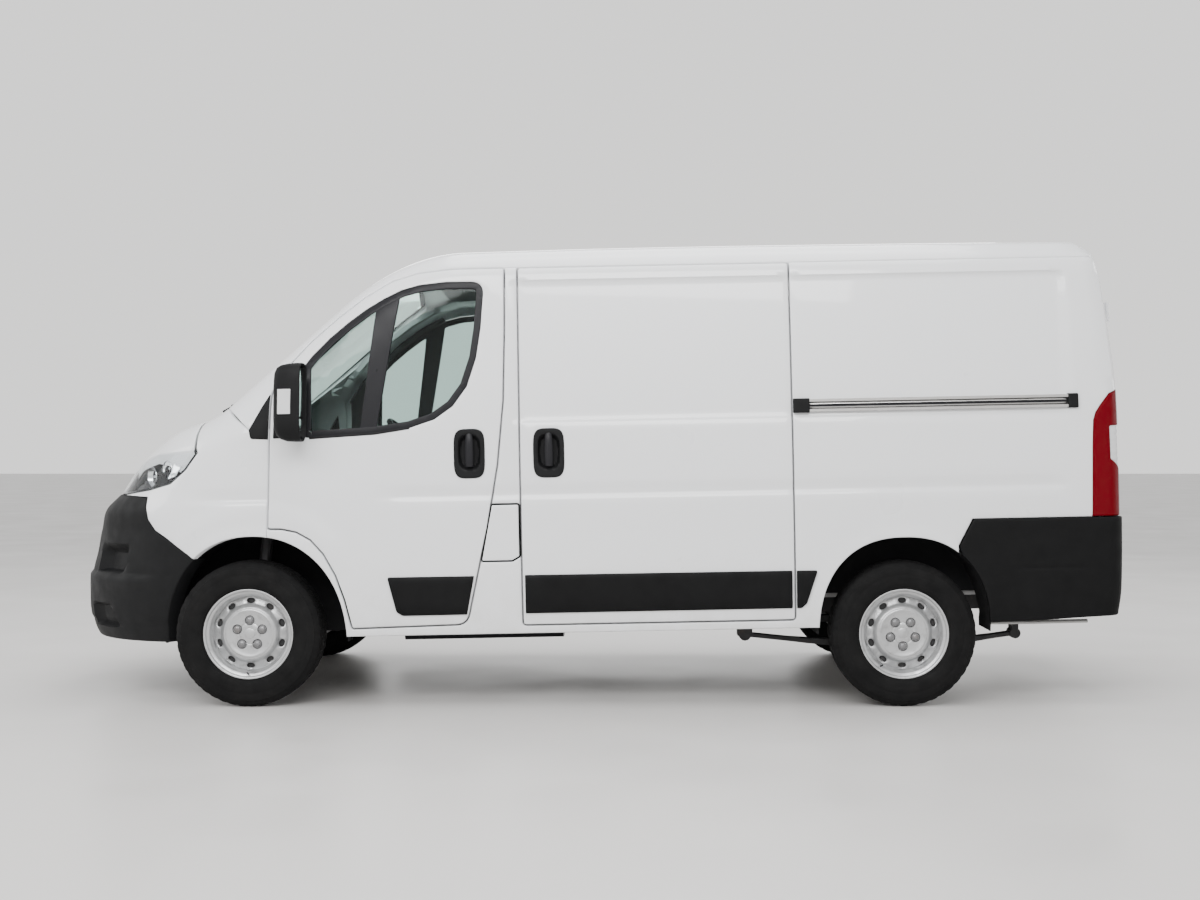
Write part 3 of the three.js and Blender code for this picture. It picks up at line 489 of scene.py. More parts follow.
SCREEN_HALF = [
    (-262, 0),
    (-262, 150),
    (-240, 400),
    (-195, 620),
    (-128, 764),
    (-60, 786),
    (250, 798),
    (560, 775),
    (640, 740),
    (668, 400),
    (680, 150),
    (680, 0),
]


def both_sides(half):
    """Half an outline in plan, from the middle, and its mirror image."""
    half = np.asarray(half, float)
    return np.concatenate([half, (half * np.array([1, -1]))[::-1]])


SCREEN = both_sides(SCREEN_HALF)


def contains(loop, points):
    """Which points are inside a polygon."""
    x, y = points.T
    hits = np.zeros(len(points), bool)
    for (x0, y0), (x1, y1) in zip(loop, np.roll(loop, -1, 0)):
        if y0 == y1:
            continue
        crosses = (y0 > y) != (y1 > y)
        at = x0 + (y - y0) * (x1 - x0) / (y1 - y0)
        hits ^= crosses & (x < at)
    return hits


def gap_to(points, a, b):
    """Distance of each point from the nearest of the segments a-b."""
    best = np.full(len(points), 1e9)
    d = b - a
    length = np.maximum((d * d).sum(1), 1e-12)
    for i in range(0, len(points), 1500):
        p = points[i : i + 1500]
        t = np.clip(((p[:, None] - a) * d).sum(2) / length, 0, 1)
        best[i : i + 1500] = np.linalg.norm(p[:, None] - (a + t[..., None] * d), axis=2).min(1)
    return best


# ---------------------------------------------------------------------------------------------------
# Pieces
# ---------------------------------------------------------------------------------------------------


def mesh_piece(name, vertices, faces, material, body="van_body", slot=None, stands_for=(), sharp=36,
    raked=True):
    """A closed mesh as an object that rides on a body.

    Vertices are body-frame millimetres, or the row's if not raked.
    """
    mesh = bpy.data.meshes.new(name)
    placed = row(vertices) if raked else np.asarray(vertices, float)
    mesh.from_pydata([tuple(v) for v in placed], [], [tuple(int(i) for i in f) for f in faces])
    work = bmesh.new()
    work.from_mesh(mesh)
    bmesh.ops.remove_doubles(work, verts=work.verts, dist=1e-6)
    bmesh.ops.dissolve_degenerate(work, dist=1e-6, edges=work.edges)
    bmesh.ops.recalc_face_normals(work, faces=work.faces)
    work.to_mesh(mesh)
    work.free()
    mesh.shade_smooth()
    mesh.set_sharp_from_angle(angle=math.radians(sharp))
    mesh.materials.append(material)
    piece = bpy.data.objects.new(name, mesh)
    bpy.context.scene.collection.objects.link(piece)
    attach(piece, body)
    if stands_for:
        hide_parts(*stands_for)
    return piece


def skin(keep, cut=(), spacing=30.0, lines=(), rings=(0.9, 2.4, 5.0), levels=()):
    """Triangles that fill the region inside every keep loop and outside every cut loop, in flat coordinates.

    Returns the points, the triangles, the directed boundary edges and each point's distance from the boundary.
    """
    keep = [oriented(dense(k)) for k in keep]
    cut = [oriented(dense(c)) for c in cut]
    points, edges = [], []

    def add(path, closed):
        start = len(points)
        points.extend(path)
        count = len(path)
        edges.extend((start + k, start + (k + 1) % count) for k in range(count if closed else count - 1))

    for loop in keep + cut:
        add(loop, True)

    def within(p):
        good = np.ones(len(p), bool)
        for k in keep:
            good &= contains(k, p)
        for c in cut:
            good &= ~contains(c, p)
        return good

    for line in lines:
        add(np.asarray(line, float), False)
    loose = []
    for loop, inward in [(k, -1) for k in keep] + [(c, 1) for c in cut]:
        for r in rings:
            loose.append(grown(loop, inward * r))
    low, high = np.max([k.min(0) for k in keep], 0), np.min([k.max(0) for k in keep], 0)
    xs = np.linspace(low[0], high[0], max(2, int((high[0] - low[0]) / spacing) + 1))
    ys = np.linspace(low[1], high[1], max(2, int((high[1] - low[1]) / spacing) + 1))
    if len(levels):
        ys = ys[np.min(np.abs(ys[:, None] - np.array(levels)[None]), 1) > spacing * 0.4]
        ys = np.concatenate([ys, levels])
    grid = np.stack(np.meshgrid(xs, ys), -1).reshape(-1, 2)
    starts = np.concatenate(keep + cut)
    ends = np.concatenate([np.roll(k, -1, 0) for k in keep + cut])
    grid = grid[within(grid)]
    grid = grid[gap_to(grid, starts, ends) > max(rings, default=0) + 4]
    if loose:
        ring = np.concatenate(loose)
        ring = ring[within(ring)]
        ring = ring[gap_to(ring, starts, ends) > min(rings) * 0.8]
        points.extend(ring)
    points.extend(grid)
    made, _, triangles, *_ = delaunay_2d_cdt([Vector((p[0], p[1])) for p in points], edges, [], 0, 1e-4)
    flat = np.array([(v.x, v.y) for v in made])
    tri = np.array([t for t in triangles if len(t) == 3], int)
    tri = tri[within(flat[tri].mean(1))]
    used, remap = np.unique(tri, return_inverse=True)
    flat, tri = flat[used], remap.reshape(-1, 3)
    a, b, c = flat[tri[:, 0]], flat[tri[:, 1]], flat[tri[:, 2]]
    area = (b[:, 0] - a[:, 0]) * (c[:, 1] - a[:, 1]) - (b[:, 1] - a[:, 1]) * (c[:, 0] - a[:, 0])
    tri[area < 0] = tri[area < 0][:, ::-1]
    seen = {}
    for t in tri:
        for k in range(3):
            seen[(t[k], t[(k + 1) % 3])] = True
    border = np.array([e for e in seen if (e[1], e[0]) not in seen], int)
    distance = gap_to(flat, flat[border[:, 0]], flat[border[:, 1]])
    return flat, tri, border, distance


def sheet_solid(flat, tri, border, outer, inner):
    """A closed solid between two skins with the same triangles."""
    n = len(flat)
    faces = [tuple(t) for t in tri] + [tuple(t[::-1] + n) for t in tri]
    faces += [(b, a, a + n, b + n) for a, b in border]
    return np.concatenate([outer, inner]), faces


def panel(name, chart, keep, material, cut=(), thick=WALL, feature=None, roll=5.0, proud=0.0, spacing=30.0,
    lines=(), levels=(), **piece):
    """A body panel: an outline on the surface, with a rolled edge and its thickness behind it."""
    rings = (roll * 0.18, roll * 0.5, roll * 1.0) if roll else ()
    flat, tri, border, distance = skin(keep, cut, spacing, lines, rings, levels)
    drop = np.full(len(flat), -float(proud))
    if roll:
        near = np.clip(roll - distance, 0, roll)
        drop = drop + roll - np.sqrt(np.maximum(roll * roll - near * near, 0))
    if feature:
        drop = drop + feature(flat[:, 0], flat[:, 1])
    depth = thick(flat[:, 0], flat[:, 1]) if callable(thick) else np.full(len(flat), float(thick))
    depth = np.maximum(depth, drop + 1.5)
    vertices, faces = sheet_solid(flat, tri, border, chart.at(flat, drop), chart.at(flat, depth))
    return mesh_piece(name, vertices, faces, material, **piece)


def ring_sweep(sections, closed=True, capped=True):
    """Faces that join equal rings of points, one after the other."""
    count = len(sections[0])
    faces = []
    turns = len(sections) if closed else len(sections) - 1
    for i in range(turns):
        a, b = i * count, ((i + 1) % len(sections)) * count
        faces += [(a + k, a + (k + 1) % count, b + (k + 1) % count, b + k) for k in range(count)]
    if not closed and capped:
        faces += [tuple(range(count))[::-1], tuple((len(sections) - 1) * count + k for k in range(count))]
    return np.concatenate(sections), faces


def tube(path, radius, sides=12, up=(0, 0, 1)):
    """A closed rod along a path, round or with half-sizes (across, up) at each point."""
    path = np.asarray(path, float)
    radius = np.broadcast_to(np.asarray(radius, float).reshape(-1, 1) if np.ndim(radius) < 2
        else np.asarray(radius, float), (len(path), 2 if np.ndim(radius) == 2 else 1))
    along = np.gradient(path, axis=0)
    along /= np.linalg.norm(along, axis=1)[:, None]
    side = np.cross(along, np.array(up, float))
    side /= np.linalg.norm(side, axis=1)[:, None]
    over = np.cross(side, along)
    t = np.linspace(0, 2 * math.pi, sides, endpoint=False)
    rings = []
    for p, s, o, r in zip(path, side, over, radius):
        ra, rb = r[0], r[-1]
        rings.append(p + np.cos(t)[:, None] * s * ra + np.sin(t)[:, None] * o * rb)
    return ring_sweep(rings, closed=False)


def block(low, high, bevel=4.0, segments=3):
    """A rounded box's vertices and faces."""
    work = bmesh.new()
    bmesh.ops.create_cube(work, size=1)
    low, high = np.array(low, float), np.array(high, float)
    for v in work.verts:
        v.co = Vector(low + (np.array(v.co) + 0.5) * (high - low))
    bmesh.ops.bevel(work, geom=list(work.edges), offset=bevel, segments=segments, affect="EDGES", profile=0.5)
    work.verts.index_update()
    vertices = np.array([v.co for v in work.verts])
    faces = [tuple(v.index for v in f.verts) for f in work.faces]
    work.free()
    return vertices, faces


def joined(*parts):
    vertices, faces, start = [], [], 0
    for v, f in parts:
        vertices.append(np.asarray(v, float))
        faces += [tuple(i + start for i in face) for face in f]
        start += len(v)
    return np.concatenate(vertices), faces


def mirrored(part):
    v, f = part
    return np.asarray(v) * np.array([1, -1, 1]), [tuple(face[::-1]) for face in f]


def lathe(profile, segments, shape=None):
    """A closed turned solid about the y axis from a closed profile of (radius, y).

    shape may change each ring's radii.
    """
    profile = np.asarray(profile, float)
    rings = []
    for k in range(segments):
        a = 2 * math.pi * k / segments
        r, y = (profile if shape is None else shape(profile, k)).T
        rings.append(np.stack([r * math.sin(a), y, r * math.cos(a)], 1))
    return ring_sweep(rings)


# ---------------------------------------------------------------------------------------------------
# Materials
# ---------------------------------------------------------------------------------------------------


class Finish:
    """A Principled material and helpers to add nodes to it."""

    def __init__(self, name, color, roughness, **inputs):
        self.material = bpy.data.materials.new(name)
        self.material.use_nodes = True
        self.tree = self.material.node_tree
        self.shader = self.tree.nodes["Principled BSDF"]
        self.color = color
        self.shader.inputs["Base Color"].default_value = (*color, 1)
        self.shader.inputs["Roughness"].default_value = roughness
        for key, value in inputs.items():
            self.shader.inputs[key.replace("_", " ")].default_value = value
        self.where = self.tree.nodes.new("ShaderNodeTexCoord").outputs["Object"]
        self.bumps = None

    def link(self, a, b):
        self.tree.links.new(a, b)

    def stretched(self, scale):
        node = self.tree.nodes.new("ShaderNodeMapping")
        self.link(self.where, node.inputs["Vector"])
        node.inputs["Scale"].default_value = scale
        return node.outputs["Vector"]

    def noise(self, scale, detail=3.0, roughness=0.5, where=None):
        node = self.tree.nodes.new("ShaderNodeTexNoise")
        node.inputs["Scale"].default_value = scale
        node.inputs["Detail"].default_value = detail
        node.inputs["Roughness"].default_value = roughness
        self.link(where or self.where, node.inputs["Vector"])
        return node.outputs["Fac"]

    def cells(self, scale, where=None):
        node = self.tree.nodes.new("ShaderNodeTexVoronoi")
        node.inputs["Scale"].default_value = scale
        self.link(where or self.where, node.inputs["Vector"])
        return node.outputs["Distance"]

    def wave(self, scale, axis="X", where=None, distortion=0.0):
        node = self.tree.nodes.new("ShaderNodeTexWave")
        node.bands_direction = axis
        node.inputs["Scale"].default_value = scale
        node.inputs["Distortion"].default_value = distortion
        self.link(where or self.where, node.inputs["Vector"])
        return node.outputs["Fac"]

    def ranged(self, value, low, high, to_low=0.0, to_high=1.0):
        node = self.tree.nodes.new("ShaderNodeMapRange")
        self.link(value, node.inputs["Value"])
        node.inputs["From Min"].default_value = low
        node.inputs["From Max"].default_value = high
        node.inputs["To Min"].default_value = to_low
        node.inputs["To Max"].default_value = to_high
        return node.outputs["Result"]

    def math(self, a, operation, b):
        node = self.tree.nodes.new("ShaderNodeMath")
        node.operation = operation
        for i, value in enumerate((a, b)):
            if isinstance(value, (int, float)):
                node.inputs[i].default_value = value
            else:
                self.link(value, node.inputs[i])
        return node.outputs["Value"]

    def height(self):
        node = self.tree.nodes.new("ShaderNodeSeparateXYZ")
        self.link(self.where, node.inputs["Vector"])
        return node.outputs["Z"]

    def tint(self, amount, other):
        """Mixes another colour into the base by amount."""
        mix = self.tree.nodes.new("ShaderNodeMix")
        mix.data_type = "RGBA"
        self.link(amount, mix.inputs["Factor"])
        before = self.shader.inputs["Base Color"].links
        if before:
            self.link(before[0].from_socket, mix.inputs["A"])
        else:
            mix.inputs["A"].default_value = (*self.color, 1)
        mix.inputs["B"].default_value = (*other, 1)
        self.link(mix.outputs["Result"], self.shader.inputs["Base Color"])
        return self

    def rough(self, value):
        self.link(value, self.shader.inputs["Roughness"])
        return self

    def bump(self, value, strength, distance):
        node = self.tree.nodes.new("ShaderNodeBump")
        node.inputs["Strength"].default_value = strength
        node.inputs["Distance"].default_value = distance
        self.link(value, node.inputs["Height"])
        if self.bumps:
            self.link(self.bumps, node.inputs["Normal"])
        self.bumps = node.outputs["Normal"]
        self.link(self.bumps, self.shader.inputs["Normal"])
        return self


def painted(name, color):
    """Gloss paint under lacquer, with faint orange peel and painted shade low down, in patches."""
    f = Finish(name, color, 0.32, Coat_Weight=0.85, Coat_Roughness=0.04, Coat_IOR=1.5)
    f.bump(f.noise(320, 2), 0.03, 0.0006)
    f.rough(f.ranged(f.noise(3.2, 4), 0.3, 0.7, 0.27, 0.38))
    # Painted shade: the colour darkens in patches below 0.75 m, most at 0.25 m and lower.
    painted_low_shade = f.math(f.ranged(f.height(), 0.75, 0.25), "MULTIPLY",
        f.ranged(f.noise(9, 6, 0.6), 0.4, 0.75, 0.0, 0.35))
    f.tint(f.math(painted_low_shade, "MAXIMUM", 0.0), (0.52, 0.50, 0.46))
    return f.material


def plastic(name, color, roughness=0.5, grain=900.0):
    """Moulded plastic with a fine spark-eroded grain."""
    f = Finish(name, color, roughness, Specular_IOR_Level=0.16)
    f.bump(f.cells(grain), 0.22, 0.0005)
    f.rough(f.ranged(f.noise(14, 4), 0.3, 0.7, roughness - 0.06, roughness + 0.08))
    f.tint(f.ranged(f.noise(5, 5), 0.45, 0.8, 0.0, 0.22), tuple(min(1, c * 1.5 + 0.004) for c in color))
    return f.material


def steel(name, color, roughness, metallic, rust=0.0):
    f = Finish(name, color, roughness, Metallic=metallic)
    f.bump(f.noise(160, 4), 0.12, 0.0008)
    f.rough(f.ranged(f.noise(20, 5), 0.3, 0.7, roughness - 0.08, roughness + 0.12))
    if rust:
        f.tint(f.ranged(f.noise(24, 7, 0.65), 0.55, 0.75, 0.0, rust), (0.16, 0.075, 0.035))
    return f.material


def fabric(name, color, scale=420.0):
    f = Finish(name, color, 0.9, Sheen_Weight=0.25, Sheen_Roughness=0.5)
    weave = f.math(f.wave(scale, "Z"), "MULTIPLY", f.wave(scale, "Y"))
    f.bump(weave, 0.5, 0.0008)
    f.tint(f.ranged(weave, 0.2, 0.8, 0.0, 0.6), tuple(c * 1.7 for c in color))
    f.tint(f.ranged(f.noise(7, 4), 0.4, 0.8, 0.0, 0.3), tuple(c * 0.6 for c in color))
    return f.material


def glazing(name, color, roughness=0.02):
    """Tinted safety glass, thin enough to see straight through."""
    f = Finish(name, color, roughness, Transmission_Weight=1.0, IOR=1.22, Alpha=1.0)
    f.rough(f.ranged(f.noise(6, 3), 0.4, 0.8, roughness, roughness + 0.03))
    f.bump(f.noise(2.2, 1), 0.02, 0.004)
    return f.material


def lit_plastic(name, color, transmission, roughness=0.08, flutes=0.0, axis="Y", ior=1.33):
    gloss = 0.5 if transmission > 0.5 else 0.12
    f = Finish(name, color, roughness, Transmission_Weight=transmission, IOR=ior, Coat_Weight=0.02,
        Specular_IOR_Level=gloss)
    f.bump(f.noise(180, 2), 0.03, 0.0006)
    if flutes:
        f.bump(f.wave(flutes, axis), 0.35, 0.002)
    f.tint(f.ranged(f.noise(12, 3), 0.4, 0.8, 0.0, 0.15), tuple(c * 0.7 for c in color))
    return f.material


PAINT = painted("gloss_white_paint", (0.79, 0.80, 0.815))
BLACK = plastic("grained_black_plastic", (0.0055, 0.0057, 0.0062), 0.58)
BLACK_SIDE = plastic("dark_grained_cladding", (0.0026, 0.0027, 0.003), 0.62)
BLACK_SMOOTH = plastic("satin_black_plastic", (0.014, 0.014, 0.016), 0.32, 1400)
GLOSS = plastic("gloss_black_trim", (0.010, 0.010, 0.012), 0.16, 2000)
RUBBER_SEAL = plastic("black_rubber_seal", (0.012, 0.012, 0.013), 0.62, 700)
LINER = plastic("felted_arch_liner", (0.012, 0.012, 0.013), 0.85, 260)
TRIM = plastic("grained_cab_trim", (0.02, 0.021, 0.023), 0.6, 700)
PALE_TRIM = plastic("pale_cab_trim", (0.055, 0.057, 0.06), 0.7, 600)
FABRIC = fabric("woven_seat_cloth", (0.035, 0.038, 0.045))
FABRIC_PLAIN = fabric("plain_seat_cloth", (0.020, 0.021, 0.024), 620)
HEADLINER = fabric("felt_headliner", (0.07, 0.072, 0.075), 260)
GLASS = glazing("green_tinted_glass", (0.66, 0.78, 0.75))
SCREEN_GLASS = glazing("windscreen_glass", (0.74, 0.84, 0.81))
UNDERBODY = steel("black_underbody_paint", (0.018, 0.018, 0.019), 0.6, 0.0, 0.18)
CAST = steel("dull_cast_metal", (0.12, 0.12, 0.125), 0.55, 0.8, 0.25)
EXHAUST = steel("heat_stained_steel", (0.24, 0.22, 0.20), 0.42, 0.9, 0.45)
PRIMER = steel("grey_primer_floor", (0.42, 0.42, 0.41), 0.5, 0.0)
BRIGHT = steel("bright_reflector", (0.86, 0.87, 0.88), 0.10, 1.0)
CLEAR = lit_plastic("clear_lamp_lens", (0.93, 0.95, 0.96), 1.0, 0.02, ior=1.12)
RED = lit_plastic("red_lamp_lens", (0.13, 0.0, 0.004), 0.0, 0.09, 190.0, "Z")
WHITE_LENS = lit_plastic("white_lamp_lens", (0.86, 0.87, 0.88), 0.2, 0.12, 170.0, "Z")
PLATE = plastic("blank_plate", (0.72, 0.70, 0.60), 0.4, 500)


def silver_paint():
    f = Finish("silver_wheel_paint", (0.46, 0.465, 0.47), 0.36, Metallic=0.72, Coat_Weight=0.25,
        Coat_Roughness=0.2)
    f.bump(f.noise(420, 3), 0.10, 0.0005)
    f.rough(f.ranged(f.noise(30, 4), 0.3, 0.7, 0.28, 0.46))
    f.tint(f.ranged(f.noise(26, 6, 0.62), 0.52, 0.75, 0.0, 0.5), (0.16, 0.155, 0.15))
    return f.material


def rubber():
    f = Finish("tyre_rubber", (0.0042, 0.0042, 0.0044), 0.82, Specular_IOR_Level=0.16)
    f.bump(f.noise(240, 5), 0.25, 0.0009)
    f.tint(f.ranged(f.noise(11, 6, 0.6), 0.42, 0.75, 0.0, 0.3), (0.014, 0.0132, 0.0125))
    f.rough(f.ranged(f.noise(16, 4), 0.3, 0.7, 0.68, 0.88))
    return f.material


def brushed_rail():
    f = Finish("brushed_aluminium", (0.55, 0.54, 0.53), 0.26, Metallic=1.0)
    lines = f.noise(60, 5, 0.6, f.stretched((0.15, 9, 9)))
    f.bump(lines, 0.10, 0.0006)
    f.rough(f.ranged(lines, 0.3, 0.7, 0.2, 0.38))
    return f.material


SILVER, TYRE_RUBBER, RAIL = silver_paint(), rubber(), brushed_rail()

# ---------------------------------------------------------------------------------------------------
# Pressed shapes in the panels
# ---------------------------------------------------------------------------------------------------

RECESS_Z = (1279.0, 1927.0)
RECESS_REAR = 3760.0
RECESS_DEPTH = 8.0
RAIL_Z = (1297.0, 1361.0)
SWAGE_TOP = 1003.0


def swage(z):
    """Depth of the lower groove: it falls in for 52 mm and comes out again over 26 mm."""
    inward = step(SWAGE_TOP - z, 0, 52)
    outward = step(SWAGE_TOP - z, 54, 82)
    return 9.0 * inward * (1 - outward)


def recess(x, z, front=1262.0):
    """Depth of the upper field of the load doors and rear quarters."""
    low = step(z, RECESS_Z[0] - 9, RECESS_Z[0] + 9)
    high = 1 - step(z, RECESS_Z[1] - 8, RECESS_Z[1] + 4)
    rear = 1 - step(x, RECESS_REAR - 8 - np.maximum(z - 1870, 0) * 0.25,
        RECESS_REAR + 6 - np.maximum(z - 1870, 0) * 0.25)
    return RECESS_DEPTH * low * high * rear * (x > front - 40)


def side_shape(x, z):
    """Pressed shapes of the body side, as depth below the plain surface."""
    fade = step(x, 560, 760) * (1 - step(x, 3690, 3760))
    depth = swage(z) * fade + recess(x, z)
    for arch in (FRONT_ARCH, REAR_ARCH):
        d = arch.beyond(x, z)
        lip = np.exp(-((np.maximum(d, 0) / 26) ** 2))
        depth = depth - 5.0 * lip
    d = FRONT_ARCH.beyond(x, z)
    bulge = (1 - step(d, 95, 165)) * step(z, 560, 760)
    return depth - 7.0 * bulge * (1 - step(x, 470, 620))


def fender_shape(u, v):
    """The same shapes on the wing, on the nose's map."""
    p = FRONT.at(np.stack([u, v], 1))
    x, z = p[:, 0], p[:, 2]
    depth = swage(z) * step(x, -330, -120) * 0.9
    d = FRONT_ARCH.beyond(x, z)
    depth = depth - 5.0 * np.exp(-((np.maximum(d, 0) / 26) ** 2))
    bulge = (1 - step(d, 95, 165)) * step(z, 560, 760) * step(x, -420, -250)
    return depth - 7.0 * bulge


SIDE_LEVELS = (1927 + 4, 1927 - 2, 1927 - 8, 1270, 1279, 1288, 1003, 994, 977, 960, 951, 946, 938, 929, 921)


def thin_at_arches(x, z):
    """The wall is a single flange round the wheel arches."""
    d = np.minimum(FRONT_ARCH.beyond(x, z), REAR_ARCH.beyond(x, z))
    return 14 + (WALL - 14) * step(d, 14, 40)


def both(make):
    make(-1, "left")
    make(1, "right")


def side_map(sign):
    return LEFT if sign < 0 else RIGHT


def corner_line(pairs, sign=-1):
    """Points on the surface behind the corner, given as (y, z) without sign, on the side's map."""
    pairs = np.asarray(pairs, float)
    return side_map(sign).flat(on_rear(np.stack([pairs[:, 0] * sign, pairs[:, 1]], 1)))


# ---------------------------------------------------------------------------------------------------
# Body sides
# ---------------------------------------------------------------------------------------------------

TAIL_EDGE = [(3865, 800), (3872, 1120), (3878, 1238), (3889, 1272), (3911, 1305), (3935, 1336), (3953, 1358)]
TAIL_INNER = 880.0
CLADDING_FRONT = [(3253, 674), (3319, 796)]
CLADDING_TOP = 797.0
REAR_DOOR_HALF = rounded(
    [(REAR_DOOR_EDGE, REAR_DOOR_BOTTOM, 12), (REAR_DOOR_EDGE, REAR_DOOR_TOP, 90), (4, REAR_DOOR_TOP),
        (4, REAR_DOOR_BOTTOM)]
)


def tail_loop(sign, by=0.0):
    top = [(953, 1383), (925, 1394), (TAIL_INNER, 1399)]
    inner = open_line([(TAIL_INNER, 1399), (TAIL_INNER, 800)], 30)
    front = LEFT.flat(on_side(open_line(TAIL_EDGE,
                20))) if sign < 0 else RIGHT.flat(on_side(open_line(TAIL_EDGE, 20), 1))
    back = corner_line(open_line(top, 12), sign)
    loop = np.concatenate([front, back, corner_line(inner[1:], sign)])
    return grown(dense(loop, 15), by) if by else dense(loop, 15)


def rear_edge(sign):
    """Where the body stops beside the rear doors, from the bottom up to the roof seam."""
    pairs = [(REAR_DOOR_EDGE + SHUT_GAP, z) for z in range(800, 1900, 30)]
    corner = grown(REAR_DOOR_HALF, SHUT_GAP)
    arc = corner[(corner[:, 0] > 700) & (corner[:, 1] > 1885)]
    arc = arc[np.argsort(arc[:, 1])]
    pairs += [tuple(p) for p in arc if p[1] < WAIST_SEAM_Z]
    return corner_line(pairs, sign)


def side_panel(sign, name):
    chart = side_map(sign)
    edge = rear_edge(sign)
    seam = [(1150, WAIST_SEAM_Z - SEAM_GAP), (3700, WAIST_SEAM_Z - SEAM_GAP)]
    seam = chart.flat(on_side(open_line(seam, 25), sign))
    corner = np.stack([np.arange(3720, edge[-1, 0], 20),
            np.full(len(np.arange(3720, edge[-1, 0], 20)), WAIST_SEAM_Z - SEAM_GAP)], 1)
    low = corner_line([(REAR_DOOR_EDGE + SHUT_GAP, 800)], sign)
    base = [(low[0, 0], 798.5), (3330, 798.5), (3316, 799)] + [(3250, 677)]
    sill = [(3250, SILL_Z - 60), (3000, SILL_Z - 60), (2700, SILL_Z), (102, SILL_Z),
        (102, WAIST_SEAM_Z - SEAM_GAP)]
    keep = np.concatenate([seam, corner, edge[::-1], open_line(base, 15), open_line(sill, 15)])
    cut = [
        grown(FRONT_ARCH.outline(), 0),
        REAR_ARCH.outline(),
        grown(DOOR, SHUT_GAP),
        tail_loop(sign, SEAM_GAP),
        np.array([(3250, 676), (3319, 798.5), (3500, 798.5), (3500, 200), (3250, 200)]),
        np.array([(60, WAIST_SEAM_Z), (1189, WAIST_SEAM_Z + 20), (1100, 1700), (60, 1500)]),
    ]
    if sign < 0:
        cut += [grown(SLIDER, SHUT_GAP), grown(FLAP, SHUT_GAP)]
    piece = panel(
        f"side_{name}",
        chart,
        [keep],
        PAINT,
        cut,
        thin_at_arches,
        side_shape,
        levels=SIDE_LEVELS,
        slot="body_paint",
        stands_for=(f"side_panel_{name}",),
    )
    return piece


DOOR_HANDLE = (1029.0, 1139.0)
LOAD_HANDLE = (1391.0, 1136.0)


def oval(centre, half, power=(0.55, 0.42), count=72):
    """A rounded upright oval."""
    t = np.linspace(0, 2 * math.pi, count, endpoint=False)
    c, s = np.cos(t), np.sin(t)
    x = centre[0] + half[0] * np.sign(c) * np.abs(c) ** power[0]
    return np.stack([x, centre[1] + half[1] * np.sign(s) * np.abs(s) ** power[1]], 1)


both(side_panel)
panel("sliding_load_door", LEFT, [SLIDER], PAINT, [oval(LOAD_HANDLE, (60, 98))], DOOR_WALL, side_shape,
    levels=SIDE_LEVELS, slot="body_paint", stands_for=("sliding_door",))

# ---------------------------------------------------------------------------------------------------
# Roof, bonnet, glass and nose
# ---------------------------------------------------------------------------------------------------


def pillar_line(sign):
    """The door's upper edge with its gap, from the wing to the door's rear top corner."""
    edge = grown(DOOR, SHUT_GAP)
    part = edge[(edge[:, 1] > 1262) & (edge[:, 0] < 1199) & ((edge[:, 0] < 900) | (edge[:, 1] > 1960))]
    part = part[np.argsort(part[:, 0] + part[:, 1])]
    return on_side(open_line(part, 14), sign)


def screen_edge(by=0.0):
    return on_top(dense(grown(SCREEN, by), 16))


def cowl_outline(by=0.0):
    rear = COWL_REAR[:-1]
    front = [(-245, 768), (-260, 600), (-290, 320), (-300, 150)]
    half = [(-300, 0)] + front[::-1] + [(-130, 768)] + rear[1:]
    loop = both_sides(half + [(-264, 0)])
    return grown(loop, by) if by else loop


def roof_shape(u, v):
    """Shallow ribs along the roof, and a drain channel above the seam at each side."""
    p = ROOF.at(np.stack([u, v], 1))
    x, y, z = p.T
    depth = np.zeros(len(u))
    for centre in (-560, -280, 0, 280, 560):
        rib = np.exp(-(((y - centre) / 46) ** 4))
        depth = depth + 6.0 * rib * step(x, 1180, 1260) * (1 - step(x, 3640, 3740))
    channel = np.exp(-(((np.abs(y) - 905) / 13) ** 2)) * step(x, 820, 940) * (z > 1995)
    return depth + 5.0 * channel


def make_roof():
    left = pillar_line(-1)
    foot_left = on_side([(26, 1266), (-124, 1371)], -1)
    screen_front = on_top(open_line([(-128, 766), (-195, 622), (-242, 400), (-264, 150), (-264, 0)], 14))
    seam_z = WAIST_SEAM_Z + SEAM_GAP / 2
    seam = on_side(open_line([(1204, seam_z), (3560, seam_z)], 30), -1)
    corner = grown(REAR_DOOR_HALF, SHUT_GAP)
    top_rear = corner[(corner[:, 0] < 795) & (corner[:, 1] > 1900)]
    top_rear = top_rear[np.argsort(-top_rear[:, 0])]
    top_rear = np.concatenate([top_rear[top_rear[:, 1] > seam_z - 2], [(0, REAR_DOOR_TOP + SHUT_GAP)]])
    back = on_rear(open_line(top_rear, 16) * np.array([-1, 1]))
    mirror = np.array([1, -1, 1])
    around = np.arange(3580, RIGHT.flat(back[:1] * mirror)[0, 0], 18)
    round_corner = RIGHT.at(np.stack([around, np.full(len(around), seam_z)], 1)) * mirror
    half = np.concatenate([screen_front[::-1], foot_left[::-1], left, seam, round_corner, back])
    loop = np.concatenate([half, (half * mirror)[::-1]])
    flat = ROOF.flat(loop)
    keep = flat[np.concatenate([[True], np.linalg.norm(np.diff(flat, axis=0), axis=1) > 0.5])]
    levels = [ROOF.flat(on_top([(2000, y)], 1300))[0, 1] for y in (-905, -918, -892, 905, 918, 892)]
    panel(
        "roof_skin",
        ROOF,
        [keep],
        PAINT,
        [ROOF.flat(screen_edge(SEAM_GAP))],
        ROOF_WALL,
        roof_shape,
        levels=levels,
        slot="body_paint",
        stands_for=("roof",),
    )


